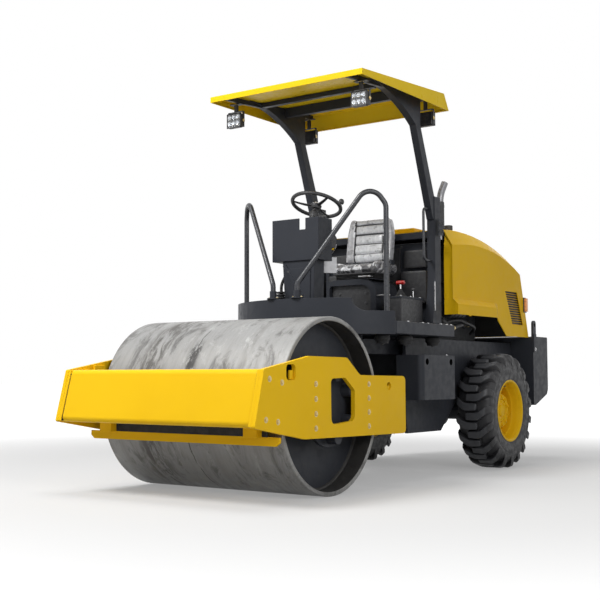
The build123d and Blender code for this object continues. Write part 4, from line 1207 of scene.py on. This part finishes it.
def make_seat_base():
    """Suspension box with a folded bellows and an adjuster handle; stand with its bolts."""
    low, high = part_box("seat_suspension")
    folds, r = 4, 0.030

    def bellows(bm):
        rings = []
        for k in range(2 * folds + 1):
            inset = r + (0.008 if k % 2 else 0.0)
            z = low.z + 0.004 + (high.z - low.z - 0.012) * k / (2 * folds)
            ring = []
            for cx, cy, start in ((high.x - inset, high.y - inset, 0), (low.x + inset, high.y - inset, 90),
                                  (low.x + inset, low.y + inset, 180), (high.x - inset, low.y + inset, 270)):
                for a in (radians(start + 22.5 * step) for step in range(5)):
                    ring.append(bm.verts.new((cx + r * cos(a), cy + r * sin(a), z)))
            rings.append(ring)
        join_rings(bm, rings, ends=True)
    parts = Parts([(shape(bellows), RUBBER_AND_SHADE), (block_on(low, high, low.z, low.z + 0.006, 0.004, 0.002), DARK),
                   (block_on(low, high, high.z - 0.009, high.z, 0.004, 0.002), PLASTIC)])
    x, y, z = high.x - 0.02, low.y - 0.03, low.z + 0.02
    parts.add(STEEL, pipe(smooth_path([(x, y + 0.04, z), (x, y, z), (x - 0.08, y, z)], 0.02), 0.005, 10))
    piece("seat_suspension_finished", "chassis", parts, ["seat_suspension"])
    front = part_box("seat_pedestal")[0].y
    stand = Parts([(copied("seat_pedestal", 0.004), DARK)])
    stand.add(PLASTIC, slab((-0.165, 0.155), (front + 0.030, front + 0.036),
                            (floor_z + 0.002, floor_z + 0.285), 0.002))
    bolt_table = ((0.107, 1.232), (0.107, 1.164), (-0.10, 1.232), (-0.10, 1.10))
    stand.append(bolts([(x, front + 0.030, z) for x, z in bolt_table], FORWARD, 0.014, IRON))
    stand.add(STEEL, pipe([(0.160, front + 0.02, 1.214), (0.300, front + 0.02, 1.212)], 0.006, 10))
    piece("seat_pedestal_finished", "chassis", stand, ["seat_pedestal"])


# ---- seat ----
BACK_SEAMS = (-0.098, -0.028, 0.042, 0.112)
SWELL_LIMIT = 0.010
SWELL_STEPS = 20
PAD_CUTS = 26
EDGE_WIDTH = 0.008


def pad_form(half, radius):
    """A closed block with rounded corners, on a grid fine enough to be shaped; centred at the origin."""
    bm = bmesh.new()
    bmesh.ops.create_cube(bm, size=2)
    bmesh.ops.subdivide_edges(bm, edges=bm.edges, cuts=PAD_CUTS, use_grid_fill=True)
    for vert in bm.verts:
        out = Vector(vert.co[k] * half[k] for k in range(3))
        core = Vector(max(-half[k] + radius, min(half[k] - radius, out[k])) for k in range(3))
        push = out - core
        vert.co = core + push.normalized() * radius if push.length > 1e-9 else out
    return bm


def swell(name, bm):
    """Puffs a pad up with a short cloth simulation; no point moves further than the limit."""
    pad = in_scene(name, bm)
    rest = [v.co.copy() for v in pad.data.vertices]
    cloth = pad.modifiers.new("cloth", "CLOTH")
    cloth.settings.use_pressure = True
    cloth.settings.uniform_pressure_force = 4
    cloth.settings.effector_weights.gravity = 0
    cloth.point_cache.frame_start, cloth.point_cache.frame_end = 1, SWELL_STEPS
    for step in range(1, SWELL_STEPS + 1):
        scene.frame_set(step)
    depsgraph = bpy.context.evaluated_depsgraph_get()
    swollen = bpy.data.meshes.new_from_object(pad.evaluated_get(depsgraph))
    for vert, start in zip(swollen.vertices, rest):
        shift = vert.co - start
        if shift.length > SWELL_LIMIT:
            vert.co = start + shift.normalized() * SWELL_LIMIT
    pad.modifiers.clear()
    pad.data = swollen
    scene.frame_set(1)
    return pad


def sew(pad, channels, width, inset, edge_depth, across, ripple, seed, facing):
    """Presses sewn channels and side seams into the pad's face, then lays fine wrinkles over it."""
    subdivision = pad.modifiers.new("smooth", "SUBSURF")
    subdivision.levels = subdivision.render_levels = 1
    settle(pad)
    normals = [vert.normal.copy() for vert in pad.data.vertices]
    for vert, normal in zip(pad.data.vertices, normals):
        co = vert.co.copy()
        dent = sum(edge_depth * exp(-((co.x - x) / EDGE_WIDTH) ** 2) for x in (-inset, inset))
        if abs(co.x) < inset:
            dent += sum(depth * exp(-((co[across] - along) / width) ** 2) for along, depth in channels)
        wave = noise.noise(Vector((co.x * 17 + seed, co.y * 17, co.z * 21)))
        fine = noise.noise(Vector((co.x * 46, co.y * 46 + seed, co.z * 52)))
        crease = -abs(noise.noise(Vector((co.x * 29, co.y * 29, co.z * 24 + seed))))
        lift = ripple * (0.5 * wave + 0.25 * fine + 0.5 * crease)
        vert.co = co - facing * dent * max(0.0, normal @ facing) + normal * lift
    return pad


def finish_pad(pad, matrix, node, finishes, choose):
    """Gives each face the finish chosen by its place, then puts the pad on the seat."""
    pad.data.materials.clear()
    for finish in finishes:
        pad.data.materials.append(finish)
    for face in pad.data.polygons:
        face.material_index = choose(face.center, face.normal)
    pad.data.transform(matrix)
    pad.data.shade_smooth()
    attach(pad, "chassis")
    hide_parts(node)


def make_cushion():
    """Seat cushion under cloudy transport film, with bolsters and sewn channels."""
    low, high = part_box("seat_cushion")
    half = Vector(((high.x - low.x) / 2 - 0.010, (high.y - low.y) / 2 - 0.010, (high.z - low.z) / 2 - 0.006))
    form = pad_form(half, 0.028)
    for vert in form.verts:
        edge = abs(vert.co.x) / half.x
        if vert.co.z > 0:
            vert.co.z += 0.016 * max(0.0, edge - 0.55) / 0.45 - 0.006 * (1 - edge)
            vert.co.z -= 0.014 * max(0.0, -vert.co.y / half.y - 0.55) / 0.45
    cushion = sew(swell("seat_cushion_film", form), [(along, 0.008) for along in (-0.060, 0.010, 0.080)],
                  0.010, half.x * 0.62, 0.010, 1, 0.0045, 3.0, Vector(UP))
    finish_pad(cushion, Matrix.Translation(middle("seat_cushion")), "seat_cushion", (FILM_DARK, SEAM),
               lambda place, normal: 0)


def make_backrest():
    """Seat back under paler film on its front and a darker copy as painted shade on its sides, top and
    bolsters; crowned and narrower at the top, with its shell and hinges.
    """
    low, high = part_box("seat_backrest")
    half = Vector(((high.x - low.x) / 2 - 0.008, 0.026, 0.164))
    form = pad_form(half, 0.025)
    for vert in form.verts:
        edge = abs(vert.co.x) / half.x
        if vert.co.y < 0:
            vert.co.y -= 0.020 * max(0.0, edge - 0.58) / 0.42
        vert.co.x *= 1 - 0.16 * max(0.0, vert.co.z / half.z) ** 2.2
        vert.co.y += 0.012 * (1 - (vert.co.z / half.z) ** 2) * (1 if vert.co.y > 0 else 0.4)
    inset = half.x * 0.60
    back = sew(swell("seat_backrest_film", form), [(along, 0.014) for along in BACK_SEAMS], 0.0085, inset,
               0.012, 2, 0.0035, 9.0, Vector(FORWARD))
    lean = Matrix.Translation(middle("seat_backrest")) @ spun(-8, "X")

    def back_finish(place, normal):
        # Faces turned away from the front, the top and the bolsters take the darker film copy: painted shade.
        if normal.y > -0.2 or place.z > 0.142 or abs(place.x) > inset + 0.006:
            return 1
        # Channels and side seams take the dark seam finish: black under the film and painted shade in the
        # channels.
        if abs(abs(place.x) - inset) < 0.0055 or min(abs(place.z - along) for along in BACK_SEAMS) < 0.0042:
            return 2
        return 0
    finish_pad(back, lean, "seat_backrest", (FILM, FILM_SHADED, SEAM), back_finish)
    wide, hinge_x = half.x - 0.03, half.x - 0.012
    parts = Parts([(prism([(-wide, -0.140), (wide, -0.140), (wide - 0.02, 0.130), (0.02 - wide, 0.130)], "Y",
                          0.034, 0.044, 0.004), PLASTIC)])
    parts.both(DARK, slab((hinge_x - 0.006, hinge_x + 0.006), (-0.020, 0.030), (-0.235, -0.150), 0.004))
    piece("seat_back_shell", "chassis", parts.placed(lean))


# ---- engine bay and small fittings ----
def band(x, y, z, inner, outer, wide, steps):
    """A clamp round a pipe that runs along the machine."""
    return turned([(0, inner), (0, outer), (wide, outer), (wide, inner)], (x, y, z), BACK, steps)


def make_hoses():
    """Hoses and the air filter in the engine bay, under the hood's front corners."""
    parts = Parts()
    low_path = ((0.44, 0.52, 1.06), (0.47, 0.60, 1.00), (0.46, 0.80, 1.04), (0.40, 0.95, 1.03))
    high_path = ((0.40, 0.50, 1.02), (0.49, 0.66, 1.07), (0.48, 0.98, 1.02), (0.38, 1.10, 0.98))
    for radius, sides, bend, path in ((0.018, 16, 0.06, low_path), (0.012, 14, 0.08, high_path)):
        for side in (1, -1):
            run = smooth_path([(side * x, y, z) for x, y, z in path], bend)
            parts.add(HOSE, pipe(run, radius, sides))
    for x in (0.455, -0.455):
        parts.add(PLASTIC, disc((x, 0.56, 1.13), 0.058, 0.22, BACK, 0.010))
        parts.add(RUBBER_AND_SHADE, *(band(x, y, 1.13, 0.0575, 0.0605, 0.010, 32) for y in (0.60, 0.66, 0.72)))
    for x in (0.468, -0.468):
        parts.add(ZINC, *(band(x, y, z, 0.0185, 0.0215, 0.014, 24)
                          for y, z in ((0.62, 1.005), (0.86, 1.040))))
    piece("engine_bay_hoses", "chassis", parts)


def make_seat_back_cover():
    """Black moulded cover on the bulkhead behind the seat, with raised pads."""
    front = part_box("bulkhead")[0].y
    parts = Parts()
    for x, z, deep in (((0.20, 0.405), (1.17, 1.40), 0.060), ((0.215, 0.39), (1.42, 1.55), 0.035)):
        parts.both(PLASTIC, slab(x, (front - deep, front + 0.01), z, 0.018))
    parts.append(bolts([(x, front, z) for x in (0.18, 0.415) for z in (1.12, 1.58)], FORWARD, 0.014, IRON,
                       both=True))
    parts.add(PLASTIC, slab((-0.175, 0.175), (front - 0.012, front + 0.004), (1.15, 1.57), 0.005))
    # A dark panel on the right side only, just before the hood's front edge: painted shade that hides the
    # hood's yellow there.
    parts.add(DARK, slab((-0.560, -0.425), (hood_front - 0.014, hood_front - 0.008), (floor_z + 0.001, 1.60),
                         0.001))
    piece("bulkhead_pads", "chassis", parts)


def make_tank_fittings():
    """Black discs of painted shade in the lifting holes, screws and the filler cap on the side tanks."""
    low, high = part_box("side_tanks")
    parts = Parts()
    # Black discs in the lifting holes: painted shade.
    parts.both(SHADE, *(disc((high.x - 0.0015, y, 0.760), 0.021, 0.0022, LEFT, 0.0005, 24)
                        for y in (-0.012, 0.330)))
    parts.append(bolts([(high.x - 0.02, 0.30, high.z)], UP, 0.014, STEEL, both=True))
    parts.add(PLASTIC, solid([(0, 0.034), (0.012, 0.036), (0.030, 0.036), (0.036, 0.030), (0.036, 0.0)],
                             (low.x + 0.07, 0.20, high.z), UP, 24))
    piece("tank_fittings", "chassis", parts)


def make_deck_mounts():
    """Rubber mounts between the deck and its beams, each with its bolt."""
    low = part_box("deck_floor")[0].z
    mount = [(0, 0.0), (0, 0.036), (0.010, 0.048), (0.034, 0.050), (0.046, 0.040), (0.060, 0.038),
             (0.060, 0.0)]
    places = [(side * x, y) for side in (1, -1) for x, y in ((0.50, -0.42), (0.52, -0.16), (0.52, 0.22))]
    parts = Parts()
    parts.add(RUBBER_AND_SHADE, *(solid(mount, (x, y, low), DOWN) for x, y in places))
    parts.append(bolts([(x, y, low - 0.060) for x, y in places], DOWN, 0.018, IRON))
    piece("deck_mounts", "chassis", parts)


def make_post_details():
    """Bolted joint plates on the roll-over posts, and a thin bare steel strip low on each post as a painted
    highlight.
    """
    outer = post_x + 0.050
    parts = Parts()
    parts.both(DARK, slab((outer, outer + 0.006), (post_front + 0.004, post_front + 0.078),
                          (floor_z + 0.620, floor_z + 0.735), 0.0015))
    parts.append(bolts([(outer + 0.006, post_front + y, floor_z + z) for y in (0.022, 0.060)
                        for z in (0.705, 0.650)], LEFT, 0.018, IRON, both=True))
    # A thin bare steel strip low on each post: painted highlight.
    parts.both(STEEL, slab((outer - 0.006, outer + 0.001), (post_front - 0.046, post_front - 0.040),
                           (floor_z + 0.10, floor_z + 0.298), 0.001))
    piece("post_joint_plates", "chassis", parts)


# ---- plain carried-over pieces ----
def make_carried():
    """Pieces whose CAD shape is the seen shape, with rounded edges."""
    table = (
        # body, slot, finish, edge radius, nodes
        ("front_frame", "yellow_paint", YELLOW, 0.003, "scraper"),
        ("front_frame", "dark_paint", DARK, 0.004, "rear_crossmember"),
        ("front_frame", "dark_paint", DARK, 0.003, "mount_carriers"),
        ("drum", "dark_paint", DARK, 0.004, "drum_heads"),
        ("centre_joint", "dark_paint", DARK, 0.003, "centre_block"),
        ("chassis", "dark_paint", DARK, 0.003, "frame_rails hinge_fork rear_axle deck_beams cross_members"),
        ("chassis", "dark_paint", ENGINE, 0.01, "engine"),
        ("chassis", "dark_paint", DARK, 0.004, "bulkhead"),
        ("chassis", "dark_paint", DARK, 0.006, "counterweight side_tanks post_left post_right"),
        ("chassis", "dark_paint", DARK, 0.002, "deck_skirt"),
        # The canopy takes the paler copy of the yellow: painted light.
        ("chassis", "yellow_paint", LIT_ROOF_YELLOW, 0.003, "canopy"),
        ("chassis", "dark_paint", GLOSSY, 0.0, "grab_handle"),
        ("cylinder_left", "dark_paint", DARK, 0.002, "steering_barrel_left"),
        ("cylinder_right", "dark_paint", DARK, 0.002, "steering_barrel_right"),
        ("rod_left", "pin_steel", STEEL, 0.001, "steering_rod_left"),
        ("rod_right", "pin_steel", STEEL, 0.001, "steering_rod_right"),
    )
    for body, slot, finish, edge, nodes in table:
        for node in nodes.split():
            piece(node + "_finished", body, [(copied(node, edge), finish)], [node])


make_drum()
for name, side in SIDES:
    make_tyre(name)
    make_rim(name, side)
for make in (make_hood, make_exhaust, make_tail_lamps, make_work_lamps, make_steering_wheel, make_column,
             make_bolts, make_lifting_lugs, make_side_plates, make_front_beam, make_deck, make_handrails,
             make_console, make_instruments, make_control_box, make_seat_base, make_cushion, make_backrest,
             make_hoses, make_seat_back_cover, make_tank_fittings, make_deck_mounts, make_post_details,
             make_carried):
    make()


# ---- camera, light and floor ----
def set_camera():
    data = bpy.data.cameras.new("camera")
    data.lens, data.sensor_width = 65.087, 36
    data.shift_x, data.shift_y = 0.0812, 0.0012
    data.clip_end = 200
    camera = bpy.data.objects.new("camera", data)
    camera.location = (3.9185, -6.3657, 0.6677)
    camera.rotation_euler = (radians(93.9584), 0, radians(36.7807))
    scene.collection.objects.link(camera)
    scene.camera = camera


def seen_strength(tree, unseen, seen):
    """A strength that is one value as a backdrop and another as light."""
    rays = tree.add("ShaderNodeLightPath").outputs
    either = tree.maths("MAXIMUM", rays["Is Camera Ray"], rays["Is Glossy Ray"])
    third = tree.maths("MAXIMUM", either, rays["Is Transmission Ray"])
    return tree.add("ShaderNodeMapRange", Value=third, To_Min=unseen, To_Max=seen).outputs[0]


def set_world():
    world = bpy.data.worlds.new("studio")
    scene.world = world
    world.use_nodes = True
    studio = Nodes(world.node_tree)
    background = world.node_tree.nodes["Background"].inputs
    studio.feed(background["Color"], (1, 1, 1, 1))
    studio.feed(background["Strength"], seen_strength(studio, 0.30, 1.0))


def set_lights():
    table = (
        # name, size, power, place, aimed at
        ("key", 3.0, 510, (-2.0, -5.6, 6.6), (0, -0.6, 0.9)),
        ("top", 4.0, 220, (-0.5, -0.5, 7.5), (0, 0, 1.0)),
        ("fill", 3.0, 150, (6.0, -4.2, 3.4), (0.4, -0.9, 0.9)),
        ("back", 5.0, 80, (-2.0, 7.0, 5.0), (0, 0, 1.2)),
    )
    for name, size, power, place, target in table:
        data = bpy.data.lights.new(name, "AREA")
        data.shape, data.size, data.energy = "DISK", size, power
        lamp = bpy.data.objects.new(name, data)
        lamp.location = place
        lamp.rotation_euler = (Vector(target) - Vector(place)).to_track_quat("-Z", "Y").to_euler()
        scene.collection.objects.link(lamp)


def set_floor():
    """A wide pale floor that keeps the machine's shadow and fades into the white behind it."""
    mesh = bpy.data.meshes.new("floor")
    reach = 60
    mesh.from_pydata([(-reach, -reach, 0), (reach, -reach, 0), (reach, reach, 0), (-reach, reach, 0)],
                     [], [(0, 1, 2, 3)])
    floor = in_scene("floor", mesh)
    material = bpy.data.materials.new("pale_floor")
    material.use_nodes = True
    tree = Nodes(material.node_tree)
    material.node_tree.nodes.clear()
    matt = tree.add("ShaderNodeBsdfDiffuse", Color=(0.42, 0.42, 0.42, 1)).outputs[0]
    place = tree.add("ShaderNodeTexCoord").outputs["Object"]
    away = tree.add("ShaderNodeVectorMath", {"operation": "LENGTH"})
    tree.feed(away.inputs[0], place)
    # The glow is weaker near the middle, so the floor round the machine is painted greyer: painted shade.
    fade = tree.between(away.outputs["Value"], 2.4, 8.0, 0.28, 1.0)
    strength = tree.maths("MULTIPLY", fade, seen_strength(tree, 0.0, 1.0))
    glow = tree.add("ShaderNodeEmission", Strength=strength)
    both = tree.add("ShaderNodeAddShader")
    tree.feed(both.inputs[0], matt)
    tree.feed(both.inputs[1], glow.outputs[0])
    tree.add("ShaderNodeOutputMaterial", Surface=both.outputs[0])
    mesh.materials.append(material)


set_camera()
set_world()
set_lights()
set_floor()
scene.view_settings.view_transform = "Standard"
